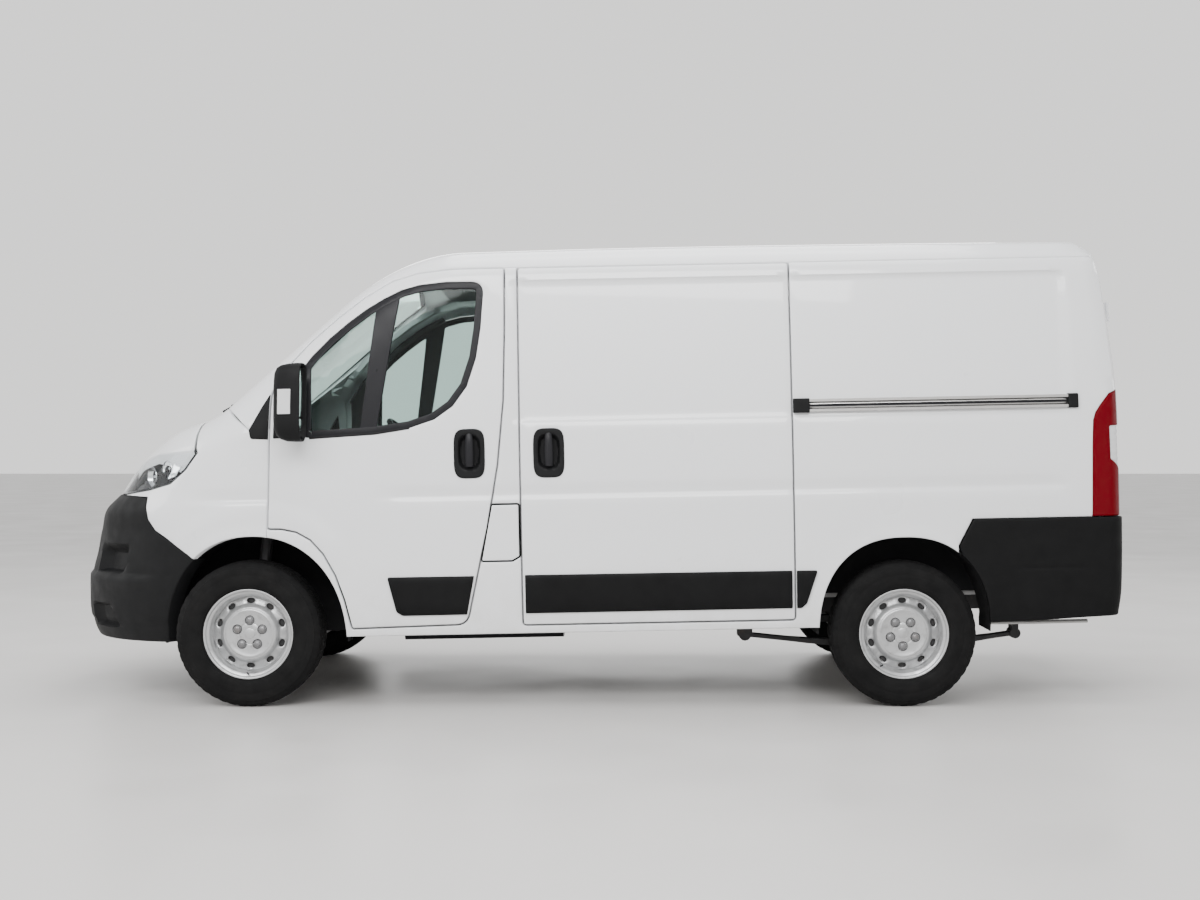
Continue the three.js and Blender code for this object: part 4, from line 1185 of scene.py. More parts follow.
def make_screen():
    glass = Top(1250.0)
    outline = dense(grown(SCREEN, -SEAM_GAP), 16)
    panel("windscreen_glass", glass, [outline], SCREEN_GLASS, (), 11, roll=2.0, proud=-5, spacing=45,
        slot="window_glass", stands_for=("windscreen",))
    inner = grown(SCREEN, -34)
    inner = np.where(np.abs(inner) > 2, inner, 0)
    panel("windscreen_band", glass, [grown(outline, -1)], GLOSS, [dense(inner, 16)], 14, roll=0, proud=-12,
        spacing=40, slot="gloss_black")


def bonnet_edge():
    """The bonnet's outline on the surface, in plan."""
    side = np.array(open_line(LAMP_TOP[::-1], 14))
    low_left = on_side(side[side[:, 0] < -246], -1)
    front_z = NOSE_Z[1] + 1.0
    edge_y = abs(low_left[0, 1])
    across = on_front(np.stack([np.linspace(-edge_y, edge_y, 80), np.full(80, front_z)], 1))
    rear_side = on_side([(-243, 1186)], -1)
    rear = [(-241, -abs(rear_side[0, 1])), (-245, -768), (-260, -600), (-290, -320), (-300, -150), (-300, 0)]
    half = np.concatenate([low_left[:, :2], open_line(rear, 14)])
    return np.concatenate([half, (half * np.array([1, -1]))[::-1][1:], across[::-1, :2][1:-1]])


def bonnet_shape(x, y):
    """Two soft creases along the bonnet."""
    crease = np.exp(-(((np.abs(y) - 560 + (x + 700) * 0.12) / 40) ** 2))
    inside = step(x, -735, -640)
    return 4.0 * crease * inside


def make_bonnet():
    loop = bonnet_edge()
    panel("bonnet_skin", Top(BONNET_VIEW), [loop], PAINT, (), 26, bonnet_shape, spacing=28, body="bonnet",
        slot="body_paint", stands_for=("bonnet",))
    gutter = grown(dense(loop, 14), 7)
    inner = grown(dense(loop, 14), -26)
    panel("bonnet_gutter", Top(BONNET_VIEW), [gutter], LINER, [inner], 54, spacing=40, roll=0, proud=-34,
        slot="black_plastic")


def make_cowl():
    loop = cowl_outline(-SEAM_GAP)
    panel("cowl_cover", Top(1150.0), [dense(loop, 12)], BLACK, (), 25, lambda x, y: 8 + 0 * x, roll=2,
        spacing=14, slot="black_plastic", stands_for=("cowl",))


make_roof()
make_screen()
make_bonnet()
make_cowl()


def lamp_loop(sign, by=0.0):
    """The headlamp's outline on the nose's map."""
    top = on_side(open_line(LAMP_TOP, 12), -1)
    low = on_side(open_line(LAMP_LOW, 12), -1)
    inner_y = abs(LAMP_INNER)
    inner = on_front(open_line([(-inner_y, 1061), (-inner_y, 975)], 12))
    top = top[np.abs(top[:, 1]) > inner_y]
    low = low[np.abs(low[:, 1]) > inner_y]
    flat = FRONT.flat(np.concatenate([top, inner, low]))
    flat = dense(flat, 12)
    if by:
        flat = grown(flat, by)
    return flat if sign < 0 else flipped(flat)[::-1]


def bumper_line(by=0.0):
    """The bumper's upper edge round the left of the nose, on the map, from the arch forward to the middle."""
    side = np.array(open_line(BUMPER_EDGE[::-1], 10))
    side[:, 1] += by
    p = FRONT.flat(on_side(side, -1))
    middle_u = np.arange(p[-1, 0] + 12, 1, 14)
    return np.concatenate([p, np.stack([middle_u, np.full(len(middle_u), NOSE_Z[0] + by)], 1)])


def front_arch_loop(extra=0.0):
    """The front wheel arch on the nose's map, forward of the axle, closed well below the bumper."""
    edge = FRONT_ARCH.outline(extra, 80)
    edge = edge[(edge[:, 1] > 232) & (edge[:, 0] < 200)]
    p = FRONT.flat(on_side(edge, -1))
    return np.concatenate([p, [(p[-1, 0], 100), (p[0, 0], 100)]])


def make_wing(sign, name):
    rear = FRONT.flat(on_side(open_line([(101, 780), (101, 817), (113, 1219), (116, 1268)], 15), -1))
    top = FRONT.flat(on_side(open_line([(26, 1264), (-122, 1369)], 15), -1))
    inner = FRONT.flat(on_top(open_line([(-129, -769), (-243, -769)], 12)))
    loop = np.concatenate([rear, top, inner,
            [(inner[-1, 0] + 120, 1300), (-300, 1300), (-300, 620), (rear[0, 0], 620)]])
    hood = FRONT.flat(on_top(dense(bonnet_edge(), 12), BONNET_VIEW))
    bumper = bumper_line(SEAM_GAP)
    under = np.concatenate([bumper, [(0, 600), (bumper[0, 0], 600)]])
    cut = [grown(hood, SHUT_GAP), lamp_loop(-1, SEAM_GAP * 1.3), under, front_arch_loop()]
    if sign > 0:
        loop, cut = flipped(loop), [flipped(c) for c in cut]
    panel(f"wing_{name}", FRONT, [loop], PAINT, cut, 16, fender_shape, spacing=24,
        levels=(1003, 994, 977, 960, 951, 946, 938, 929, 921), slot="body_paint",
        stands_for=(f"fender_{name}",))


both(make_wing)


def make_nose():
    half = [(0, NOSE_Z[0] + SEAM_GAP), (-LAMP_INNER + 2, NOSE_Z[0] + SEAM_GAP),
        (-LAMP_INNER + 2, NOSE_Z[1] - SHUT_GAP + 4), (0, NOSE_Z[1] - SHUT_GAP + 4)]
    line = FRONT.flat(on_front(open_line(half, 14)))
    loop = np.concatenate([line, flipped(line)[::-1]])
    panel("nose_strip", FRONT, [loop], PAINT, (), 18, lambda u, v: 5 * step(1022 - v, 0, 26), spacing=18,
        levels=(1022, 1009, 996), slot="body_paint", stands_for=("nose_panel",))


GRILLE_HALF = [(0, 688), (-418, 688), (-440, 706), (-486, 934), (-470, 952), (0, 952)]
INTAKE_HALF = [(0, 392), (-404, 392), (-424, 408), (-444, 508), (-430, 524), (0, 524)]


def front_loop(half):
    """A loop symmetrical about the middle of the nose, from half of it given as (y, z)."""
    line = FRONT.flat(on_front(open_line(half, 12)))
    return np.concatenate([line, flipped(line)[::-1]])


def bumper_shape(u, v):
    """Side intakes, lamp recesses and the mouldings of the front bumper. u is along the nose's map."""
    a = np.abs(u)
    depth = np.zeros(len(u))
    intake = step(a, 436, 458) * (1 - step(a, 590 + (v - 620) * 0.18, 612 + (v - 620) * 0.18)) * step(v, 607,
        622) * (1 - step(v, 700, 748))
    depth = depth + 46 * intake
    slot = step(a, 400, 430) * (1 - step(a, 520 + (465 - v) * 0.35, 545 + (465 - v) * 0.35)) * step(v, 350,
        368) * (1 - step(v, 448, 468))
    depth = depth + 34 * slot
    shelf = step(v, 588, 607) * (1 - step(v, 800, 930)) * (1 - step(a, 640, 800))
    depth = depth + 12 * shelf
    line = np.exp(-(((a - 800 - (v - 600) * 0.18) / 4.0) ** 2)) * step(v, 430, 520) * (1 - step(v, 800, 850))
    depth = depth + 3.0 * line
    chin = 1 - step(v, 372, 392)
    return depth + 6 * chin


def make_bumper():
    top = bumper_line(-SEAM_GAP)
    arch_top = top[0]
    bottom_left = FRONT.flat(on_side([(-402, 294)], -1))[0]
    outer = min(arch_top[0], bottom_left[0]) - 20
    half = np.concatenate([[(0, 294)], [(-200, 294)], [bottom_left], [(outer, bottom_left[1])],
            [(outer, arch_top[1])], top])
    left = open_line(half, 12)
    loop = np.concatenate([left, flipped(left)[::-1][1:-1]])
    arch = front_arch_loop()
    cut = [arch, flipped(arch), front_loop(GRILLE_HALF), front_loop(INTAKE_HALF)]
    levels = (588, 597, 607, 614, 622, 700, 724, 748, 468, 458, 448, 368, 359, 350, 372, 392)
    panel("front_bumper_cover", FRONT, [loop], BLACK, cut, lambda u, v: 64 + 0 * u, bumper_shape, spacing=16,
        levels=levels, slot="black_plastic", stands_for=("front_bumper",))


def make_grille():
    parts = []
    for z in np.linspace(712, 930, 6):
        half_y = 432 + (z - 690) * 0.18
        bar = front_loop([(0, z - 9), (-half_y, z - 9), (-half_y, z + 9), (0, z + 9)])
        flat, tri, border, distance = skin([bar], (), 16, (), (1.5, 4.0))
        drop = 14 + np.where(distance < 6,
            6 - np.sqrt(np.maximum(36 - (6 - np.minimum(distance, 6)) ** 2, 0)), 0)
        parts.append(sheet_solid(flat, tri, border, FRONT.at(flat, drop),
                FRONT.at(flat, np.full(len(flat), 44.0))))
    for y in (-300, -100, 100, 300):
        edge = [(y - 5, 694), (y + 5, 694), (y + 5, 948), (y - 5, 948)]
        bar = FRONT.flat(on_front(dense(edge, 20)))
        flat, tri, border, distance = skin([bar], (), 16, (), ())
        parts.append(sheet_solid(flat, tri, border, FRONT.at(flat, np.full(len(flat), 26.0)),
                FRONT.at(flat, np.full(len(flat), 46.0))))
    v, f = joined(*parts)
    mesh_piece("grille_bars", v, f, BLACK_SMOOTH, slot="black_plastic", stands_for=("grille",))
    back = front_loop([(0, 684), (-440, 684), (-500, 956), (0, 956)])
    panel("grille_backing", FRONT, [back], LINER, (), 70, roll=0, proud=-58, spacing=60, slot="black_plastic")
    low = front_loop([(0, 386), (-452, 386), (-452, 530), (0, 530)])
    mesh = lambda u, v: 6.0 * ((np.abs((v - 392) % 44) < 10) | (np.abs(u % 60) < 10))
    panel("lower_intake_mesh", FRONT, [low], BLACK_SMOOTH, (), 62, lambda u, v: -mesh(u, v), roll=0,
        proud=-50, spacing=9, slot="black_plastic")


make_nose()
make_bumper()
make_grille()

# ---------------------------------------------------------------------------------------------------
# Doors, mirrors and side trim
# ---------------------------------------------------------------------------------------------------

def loop_solid(name, chart, outer_loop, inner_loop, material, proud, thick, roll=2.0, **piece):
    return panel(name, chart, [outer_loop], material, [inner_loop], thick, roll=roll, proud=proud, spacing=22,
        **piece)


def front_door(sign, name):
    chart = side_map(sign)
    body = f"{name}_front_door"
    panel(
        f"front_door_{name}_shell",
        chart,
        [DOOR],
        PAINT,
        [grown(WINDOW, 2), oval(DOOR_HANDLE, (60, 98))],
        DOOR_WALL,
        side_shape,
        levels=(1003, 994, 977, 960, 951, 946, 938, 929, 921),
        body=body,
        slot="body_paint",
        stands_for=(f"front_door_{name}",),
    )
    frame_outer, frame_inner = dense(grown(WINDOW, 1.2), 10), dense(grown(WINDOW, -30), 10)
    loop_solid(f"window_frame_{name}", chart, frame_outer, frame_inner, BLACK_SMOOTH, -3.5, 22, 3.0,
        body=body, slot="black_plastic")
    panel(f"window_glass_{name}", chart, [dense(grown(WINDOW, -24), 12)], GLASS, (), 16, roll=0, proud=-11,
        spacing=60, body=body, slot="window_glass", stands_for=(f"door_window_{name}",))
    divider = dense(rounded([(618, 1876, 4), (722, 1886, 4), (604, 1245, 4), (530, 1243, 4)]), 12)
    panel(f"window_divider_{name}", chart, [divider], BLACK_SMOOTH, (), 24, roll=3.0, proud=-4.5, spacing=24,
        body=body, slot="gloss_black")
    seal = dense(rounded([(300, 1218, 3), (600, 1233, 3), (760, 1256, 3), (755, 1266, 3), (598, 1244, 3),
                (300, 1229, 3)]), 12)
    panel(f"waist_seal_{name}", chart, [seal], RUBBER_SEAL, (), 14, roll=2.5, proud=3.0, spacing=14,
        body=body, slot="black_plastic")
    trim = dense(grown(DOOR, -46), 14)
    panel(
        f"door_trim_{name}",
        chart,
        [trim],
        TRIM,
        [dense(grown(WINDOW, 16), 12)],
        DOOR_WALL + 22,
        lambda x, z: 0 * x,
        roll=0,
        proud=-(DOOR_WALL + 1),
        spacing=34,
        body=body,
        slot="cab_trim",
    )
    handle_parts(sign, f"door_handle_{name}", *DOOR_HANDLE, body)
    pocket = [(470, 470), (980, 470), (1010, 640), (430, 640)]
    low = chart.at(np.array(pocket, float), 84.0)
    high = chart.at(np.array(pocket, float), 150.0)
    v = np.concatenate([low, high])
    f = [(0, 1, 2, 3), (7, 6, 5, 4)] + [(k, k + 4, (k + 1) % 4 + 4, (k + 1) % 4) for k in range(4)]
    mesh_piece(f"door_bin_{name}", *rounded_solid(v, f, 10), TRIM, body=body, slot="cab_trim")
    grip = tube(chart.at(np.array([(620, 1010), (640, 1040), (700, 1060), (880, 1060), (940, 1040),
                    (960, 1010)], float), np.array([82, 100, 112, 112, 100, 82.0])),
        np.array([[13, 11]] * 6, float), 12)
    mesh_piece(f"door_pull_{name}", *grip, BLACK_SMOOTH, body=body, slot="black_plastic")


def rounded_solid(vertices, faces, bevel, segments=3):
    work = bmesh.new()
    made = [work.verts.new(v) for v in vertices]
    for f in faces:
        work.faces.new([made[i] for i in f])
    bmesh.ops.recalc_face_normals(work, faces=work.faces)
    bmesh.ops.bevel(work, geom=list(work.edges), offset=bevel, segments=segments, affect="EDGES", profile=0.5)
    work.verts.index_update()
    v = np.array([p.co for p in work.verts])
    f = [tuple(p.index for p in face.verts) for face in work.faces]
    work.free()
    return v, f


def handle_parts(sign, name, cx, cz, body):
    """A recessed handle: an oval plate with a dished pocket and an upright grip across it."""
    chart = side_map(sign)
    outline = oval((cx, cz), (71.0, 113.0))

    def dish_depth(x, z):
        e = (np.abs((x - cx) / 54) ** 3 + np.abs((z - cz - 6) / 86) ** 3) ** (1 / 3)
        return 1 - step(e, 0.74, 0.98)

    def dish(x, z):
        return 26 * dish_depth(x, z) + 1.6 * np.exp(-(((z - cz + 88) / 2.5) ** 2))

    panel(f"{name}_plate", chart, [outline], BLACK, (), lambda x, z: 1.0 + 27 * dish_depth(x, z), dish,
        roll=3.5, proud=6.0, spacing=7, body=body, slot="black_plastic")
    z = np.linspace(cz - 58, cz + 92, 13)
    lift = 13 - 9 * np.abs((z - cz - 14) / 78) ** 4
    path = chart.at(np.stack([np.full(13, cx), z], 1), -lift + 8)
    width = 15 + 4 * np.cos((z - cz) / 60)
    grip = tube(path, np.stack([width, np.full(13, 9.0)], 1), 16, up=(0, sign, 0))
    mesh_piece(f"{name}_grip", *grip, BLACK_SMOOTH, body=body, slot="black_plastic")


def shifted(points, by):
    return np.asarray(points, float) + np.array(by, float)


def mirror(sign, name):
    """A tall mirror: housing, indicator, glass and its foot on the door's front corner."""
    body = f"{name}_front_door"
    chart = side_map(sign)
    y0 = 1158.0
    half_w, half_h = 88.0, 176.0
    mid_z = 1383.0
    sections = []
    for x, grow, lean in [(178, 0.42, 10), (183, 0.62, 8), (193, 0.79, 5), (212, 0.91, 2), (240, 0.98, 0),
        (275, 1.0, 0), (300, 1.0, 0), (303, 0.97, 0), (303, 0.92, 0), (284, 0.90, 0)]:
        ring = []
        for t in np.linspace(0, 2 * math.pi, 56, endpoint=False):
            c, s = math.cos(t), math.sin(t)
            y = y0 + grow * half_w * math.copysign(abs(c) ** 0.5, c)
            z = mid_z + lean + grow ** 0.6 * half_h * math.copysign(abs(s) ** 0.36, s)
            narrow = 1 - 0.16 * step(mid_z - 90 - z, 0, 90)
            ring.append((x + (z - mid_z) * 0.03, sign * (y0 + (y - y0) * narrow), z))
        sections.append(np.array(ring))
    mesh_piece(f"mirror_{name}_housing", *ring_sweep(sections, closed=False), BLACK, body=body,
        slot="black_plastic", stands_for=(f"mirror_{name}",))
    for part, low, high in (("main", mid_z - 62, mid_z + 156), ("wide", mid_z - 152, mid_z - 74)):
        half_glass = 74 if part == "main" else 66
        loop = rounded([(y0 - half_glass, low, 22), (y0 + half_glass, low, 22), (y0 + half_glass, high, 26),
                (y0 - half_glass, high, 26)])
        flat, tri, border, _ = skin([dense(loop, 8)], (), 16, (), (2.0,))
        crown = 0.00016 * ((flat[:, 0] - y0) ** 2 + (flat[:, 1] - (low + high) / 2) ** 2)
        a = np.stack([291 - crown + (flat[:, 1] - mid_z) * 0.03, sign * flat[:, 0], flat[:, 1]], 1)
        mesh_piece(f"mirror_{name}_{part}_glass", *sheet_solid(flat, tri, border, a, shifted(a, (-5, 0, 0))),
            MIRROR, body=body, slot="mirror_glass")
    z = np.linspace(mid_z - 52, mid_z + 58, 10)
    x = np.array([206.0, 212, 226, 246, 262, 268])
    outer = []
    for zz in z:
        ring = []
        for xx in x:
            ring.append((xx + (zz - mid_z) * 0.03, sign * (1247.5 - 3.5 * abs((xx - 237) / 31) ** 2.5), zz))
        outer.append(ring)
    outer = np.array(outer)
    grid = outer.reshape(-1, 3)
    back = grid - np.array([0, sign * 9, 0])
    nx, nz = len(x), len(z)
    faces = []
    for i in range(nz - 1):
        for j in range(nx - 1):
            a = i * nx + j
            faces.append((a, a + 1, a + nx + 1, a + nx))
            faces.append(tuple(k + len(grid) for k in (a + nx, a + nx + 1, a + 1, a)))
    rim = [(j, j + 1) for j in range(nx - 1)] + [(i * nx + nx - 1, (i + 1) * nx + nx - 1)
        for i in range(nz - 1)]
    rim += [((nz - 1) * nx + j + 1, (nz - 1) * nx + j)
        for j in reversed(range(nx - 1))] + [((i + 1) * nx, i * nx) for i in reversed(range(nz - 1))]
    faces += [(b, a, a + len(grid), b + len(grid)) for a, b in rim]
    mesh_piece(f"mirror_{name}_indicator", np.concatenate([grid, back]), faces, WHITE_LENS, body=body,
        slot="lamp_lens")
    for k, zc in enumerate((mid_z - 70, mid_z + 60)):
        path = [(232, sign * 985, zc), (232, sign * 1030, zc + 2), (236, sign * 1085, zc + 6)]
        mesh_piece(f"mirror_{name}_arm_{k}", *tube(path, np.array([[26, 15]] * 3, float), 16), BLACK,
            body=body, slot="black_plastic")
    sail = rounded([(136, 1224, 6), (284, 1228, 6), (284, 1560, 8), (216, 1553, 8), (146, 1446, 8)])
    panel(f"mirror_{name}_foot", chart, [dense(sail, 12)], BLACK, (), 20, roll=4, proud=4.5, spacing=20,
        body=body, slot="black_plastic")


def wing_sail(sign, name):
    loop = rounded([(24, 1264, 6), (32, 1224, 14), (113, 1220, 3), (121, 1432, 3), (84, 1372, 6)])
    chart = side_map(sign)
    panel(f"wing_sail_{name}", chart, [dense(loop, 10)], BLACK, (), 8, roll=3, proud=3.5, spacing=16,
        slot="black_plastic")


MIRROR = steel("mirror_glass", (0.90, 0.91, 0.92), 0.03, 1.0)

both(front_door)
both(mirror)
both(wing_sail)
handle_parts(-1, "load_door_handle", *LOAD_HANDLE, "van_body")


def moulding(sign, name, outline, body):
    """Rubbing strip standing off the side, with a chamfered edge."""
    chart = side_map(sign)

    def section(x, z):
        return 4.0 * (1 - step(z, 406, 424)) + 3.0 * step(z, 566, 580)

    panel(name, chart, [dense(rounded(outline), 10)], BLACK_SIDE, (), -1.0, lambda x, z: section(x, z),
        roll=6, proud=14.0, spacing=26, levels=(406, 415, 424, 566, 573, 580), body=body,
        slot="black_plastic")


def side_trim(sign, name):
    moulding(sign, f"moulding_front_{name}",
        [(644, 582, 8), (1040, 581, 2), (1004, 405, 2), (709, 404, 30), (682, 424, 16)], f"{name}_front_door")
    moulding(sign, f"moulding_middle_{name}",
        [(1272, 581, 4), (2490, 578, 4), (2490, 405, 4), (1272, 405, 4)], "van_body")
    moulding(sign, f"moulding_rear_{name}", [(2510, 578, 3), (2606, 577, 8), (2556, 428, 24), (2532, 405, 12),
            (2510, 405, 3)], "van_body")


both(side_trim)


def make_rail():
    """The load door's slide rail on the rear quarter: an open aluminium channel with black ends."""

    def channel(x, z):
        t = (z - RAIL_Z[0]) / (RAIL_Z[1] - RAIL_Z[0])
        return 15.0 * step(t, 0.24, 0.34) * (1 - step(t, 0.66,
                0.76)) + 3.0 * np.exp(-(((t - 0.5) / 0.05) ** 2)) * -1

    z0, z1 = RAIL_Z
    levels = tuple(z0 + (z1 - z0) * t for t in (0.16, 0.24, 0.29, 0.34, 0.42, 0.46, 0.5, 0.54, 0.58, 0.66,
            0.71, 0.76, 0.84))
    flat_rail = np.array([(2575, z0 + 3), (3762, z0 + 3), (3762, z1 - 3), (2575, z1 - 3)], float)
    panel("slide_rail", LEFT, [flat_rail], RAIL, (), 6, channel, roll=0, proud=11, spacing=24, levels=levels,
        slot="rail_aluminium")
    groove = np.array([(2580, z0 + 26), (3760, z0 + 26), (3760, z1 - 26), (2580, z1 - 26)], float)
    panel("slide_rail_groove", LEFT, [groove], GLOSS, (), 6, roll=0, proud=1.5, spacing=40,
        slot="gloss_black")
    for end, x0, x1 in (("front", 2508, 2583), ("rear", 3756, 3797)):
        loop = rectangle(x0, x1, z0 - 1, z1 + 1, 5)
        panel(f"slide_rail_{end}_cap", LEFT, [dense(loop, 8)], BLACK, (), 5, roll=4, proud=14.5, spacing=10,
            slot="black_plastic")


make_rail()


def make_flap():
    panel("fuel_flap_skin", LEFT, [FLAP], PAINT, (), 11, side_shape, spacing=16, levels=SIDE_LEVELS,
        body="fuel_flap", slot="body_paint", stands_for=("fuel_flap",))
    pocket = grown(FLAP, SHUT_GAP - 1)
    cup = lambda x, z: 30 * (1 - step(np.hypot(x - 1180, z - 780), 60, 84))
    panel("fuel_filler_bowl", LEFT, [dense(pocket, 8)], BLACK, (), 80, cup, roll=0, proud=-16, spacing=9,
        slot="black_plastic")
    base = LEFT.at(np.array([(1180.0, 780.0)]), 40)[0]
    shape = [(0, -7), (27, -7), (28, -5), (28, 6), (25, 9), (11, 10), (9, 18), (0, 18)]
    v, f = lathe([(max(r, 0.01), -y) for r, y in shape], 40,
        lambda p, k: p * np.array([1 + 0.02 * (k % 4 == 0), 1]))
    mesh_piece("fuel_cap", shifted(v, base), f, BLACK_SMOOTH, slot="black_plastic")


make_flap()


def aperture(name, chart, loop, material, depth=(64, 84), width=16, inside=None, **piece):
    """The flange behind a door's edge, which closes the gap and takes the seal."""
    outer_loop = dense(grown(loop, SHUT_GAP + 3), 14)
    inner_loop = dense(grown(loop, -width), 14)
    panel(name, chart, [outer_loop], material, [inner_loop] + list(inside or []), depth[1], roll=0,
        proud=-depth[0], spacing=60, **piece)
    seal_out, seal_in = dense(grown(loop, -2), 14), dense(grown(loop, -12), 14)
    panel(f"{name}_seal", chart, [seal_out], RUBBER_SEAL, [seal_in], depth[0] + 1, roll=0,
        proud=-(depth[0] - 3.2), spacing=60, slot="black_plastic")


aperture("cab_door_flange_left", LEFT, DOOR, PAINT, slot="body_paint")
aperture("cab_door_flange_right", RIGHT, DOOR, PAINT, slot="body_paint")
aperture("load_door_flange", LEFT, SLIDER, PAINT, slot="body_paint")

# ---------------------------------------------------------------------------------------------------
# Lamps
# ---------------------------------------------------------------------------------------------------


def headlamp(sign, name):
    outline = lamp_loop(sign)
    lens = grown(outline, -1.0)
    panel(f"headlamp_{name}_lens", FRONT, [lens], CLEAR, (), 5, roll=2, proud=-1, spacing=16,
        slot="lamp_lens", stands_for=(f"headlamp_{name}",))
    rim_in = grown(outline, -9)
    panel(f"headlamp_{name}_rim", FRONT, [outline], BLACK_SMOOTH, [rim_in], 60, roll=0, proud=-6.5,
        spacing=40, slot="gloss_black")
    back = grown(outline, -2)
    panel(f"headlamp_{name}_bowl", FRONT, [back], BLACK_SMOOTH, (), 70, lambda u, v: 4 * np.sin(v / 8.0),
        roll=0, proud=-50, spacing=14, slot="gloss_black")
    s = 1 if sign > 0 else -1
    for k, (u, v, r) in enumerate(((-655, 1058, 46), (-742, 1095, 38))):
        centre = FRONT.at(np.array([(s * abs(u), v)]), 34.0)[0]
        out = FRONT.at(np.array([(s * abs(u), v)]), 0.0)[0] - centre
        out[2] = 0
        out /= np.linalg.norm(out)
        profile = [(r * 0.16, 26), (r * 0.5, 22), (r * 0.82, 10), (r, -6), (r * 0.97, -8), (r * 0.78, 8),
            (r * 0.46, 19), (r * 0.16, 23)]
        v3, f3 = lathe(profile, 40, lambda p, k: p)
        turn = Vector((0, -1, 0)).rotation_difference(Vector(out)).to_matrix()
        mesh_piece(f"headlamp_{name}_reflector_{k}", shifted(v3 @ np.array(turn).T, centre), f3, BRIGHT,
            slot="lamp_reflector")
        bulb, fb = lathe([(0.01, 24), (6, 23), (7, 12), (6, 2), (0.01, -2)], 20)
        mesh_piece(f"headlamp_{name}_bulb_{k}", shifted(bulb @ np.array(turn).T, centre), fb, WHITE_LENS,
            slot="lamp_lens")
    lit = grown(dense(rounded([(s * 792, 1150, 3), (s * 842, 1152, 3), (s * 800, 1062, 3),
                    (s * 760, 1046, 3)]), 8), 0)
    panel(f"headlamp_{name}_indicator", FRONT, [lit], BRIGHT, (), 34, lambda u, v: 3.0 * np.sin(v / 2.2) ** 2,
        roll=1, proud=-20, spacing=6, slot="lamp_reflector")


def tail_lamp(sign, name):
    chart = side_map(sign)
    outline = tail_loop(sign)
    white = dense(rounded([(3905, 1212, 8), (4100, 1212, 8), (4100, 985, 8), (3953, 1010, 10),
                (3905, 1060, 10)]), 10)
    panel(f"tail_lamp_{name}_red", chart, [outline], RED, [white], 30, lambda u, v: 0 * u, roll=5, proud=1.5,
        spacing=14, levels=(1230, 1222, 968, 960), slot="tail_lens", stands_for=(f"tail_lamp_{name}",))
    panel(f"tail_lamp_{name}_white", chart, [outline, grown(white, -1.2)], WHITE_LENS, (), 26,
        lambda u, v: 2.0 + 0.9 * np.sin(v / 5.0), roll=2, proud=0, spacing=8, slot="lamp_lens")
    panel(f"tail_lamp_{name}_bowl", chart, [grown(outline, -1)], BRIGHT, (), 56,
        lambda u, v: 1.5 * np.sin(v / 9.0), roll=0, proud=-36, spacing=16, slot="lamp_reflector")


both(headlamp)
both(tail_lamp)

# ---------------------------------------------------------------------------------------------------
# Rear doors, rear corners and step
# ---------------------------------------------------------------------------------------------------


def rear_shape(u, v):
    """Pressings in the rear doors: a blank upper field, a plate recess and a lower swage.

    u is across, without sign.
    """
    y = np.abs(u)
    field = step(y, 74, 92) * (1 - step(y, 694, 712)) * step(v, 1306, 1324) * (1 - step(v, 1846, 1868))
    plate = (1 - step(v, 1196, 1208)) * step(v, 1010, 1022) * step(y, 96, 108) * (1 - step(y, 652, 664))
    low = (1 - step(v, 884, 902)) * step(v, 560, 578) * step(y, 90, 108) * (1 - step(y, 690, 708))
    return 7 * field + 9 * plate + 5 * low


REAR_LEVELS = (1315, 1306, 1324, 1857, 1846, 1868, 1202, 1196, 1208, 1016, 1010, 1022, 893, 884, 902, 569,
    560, 578)


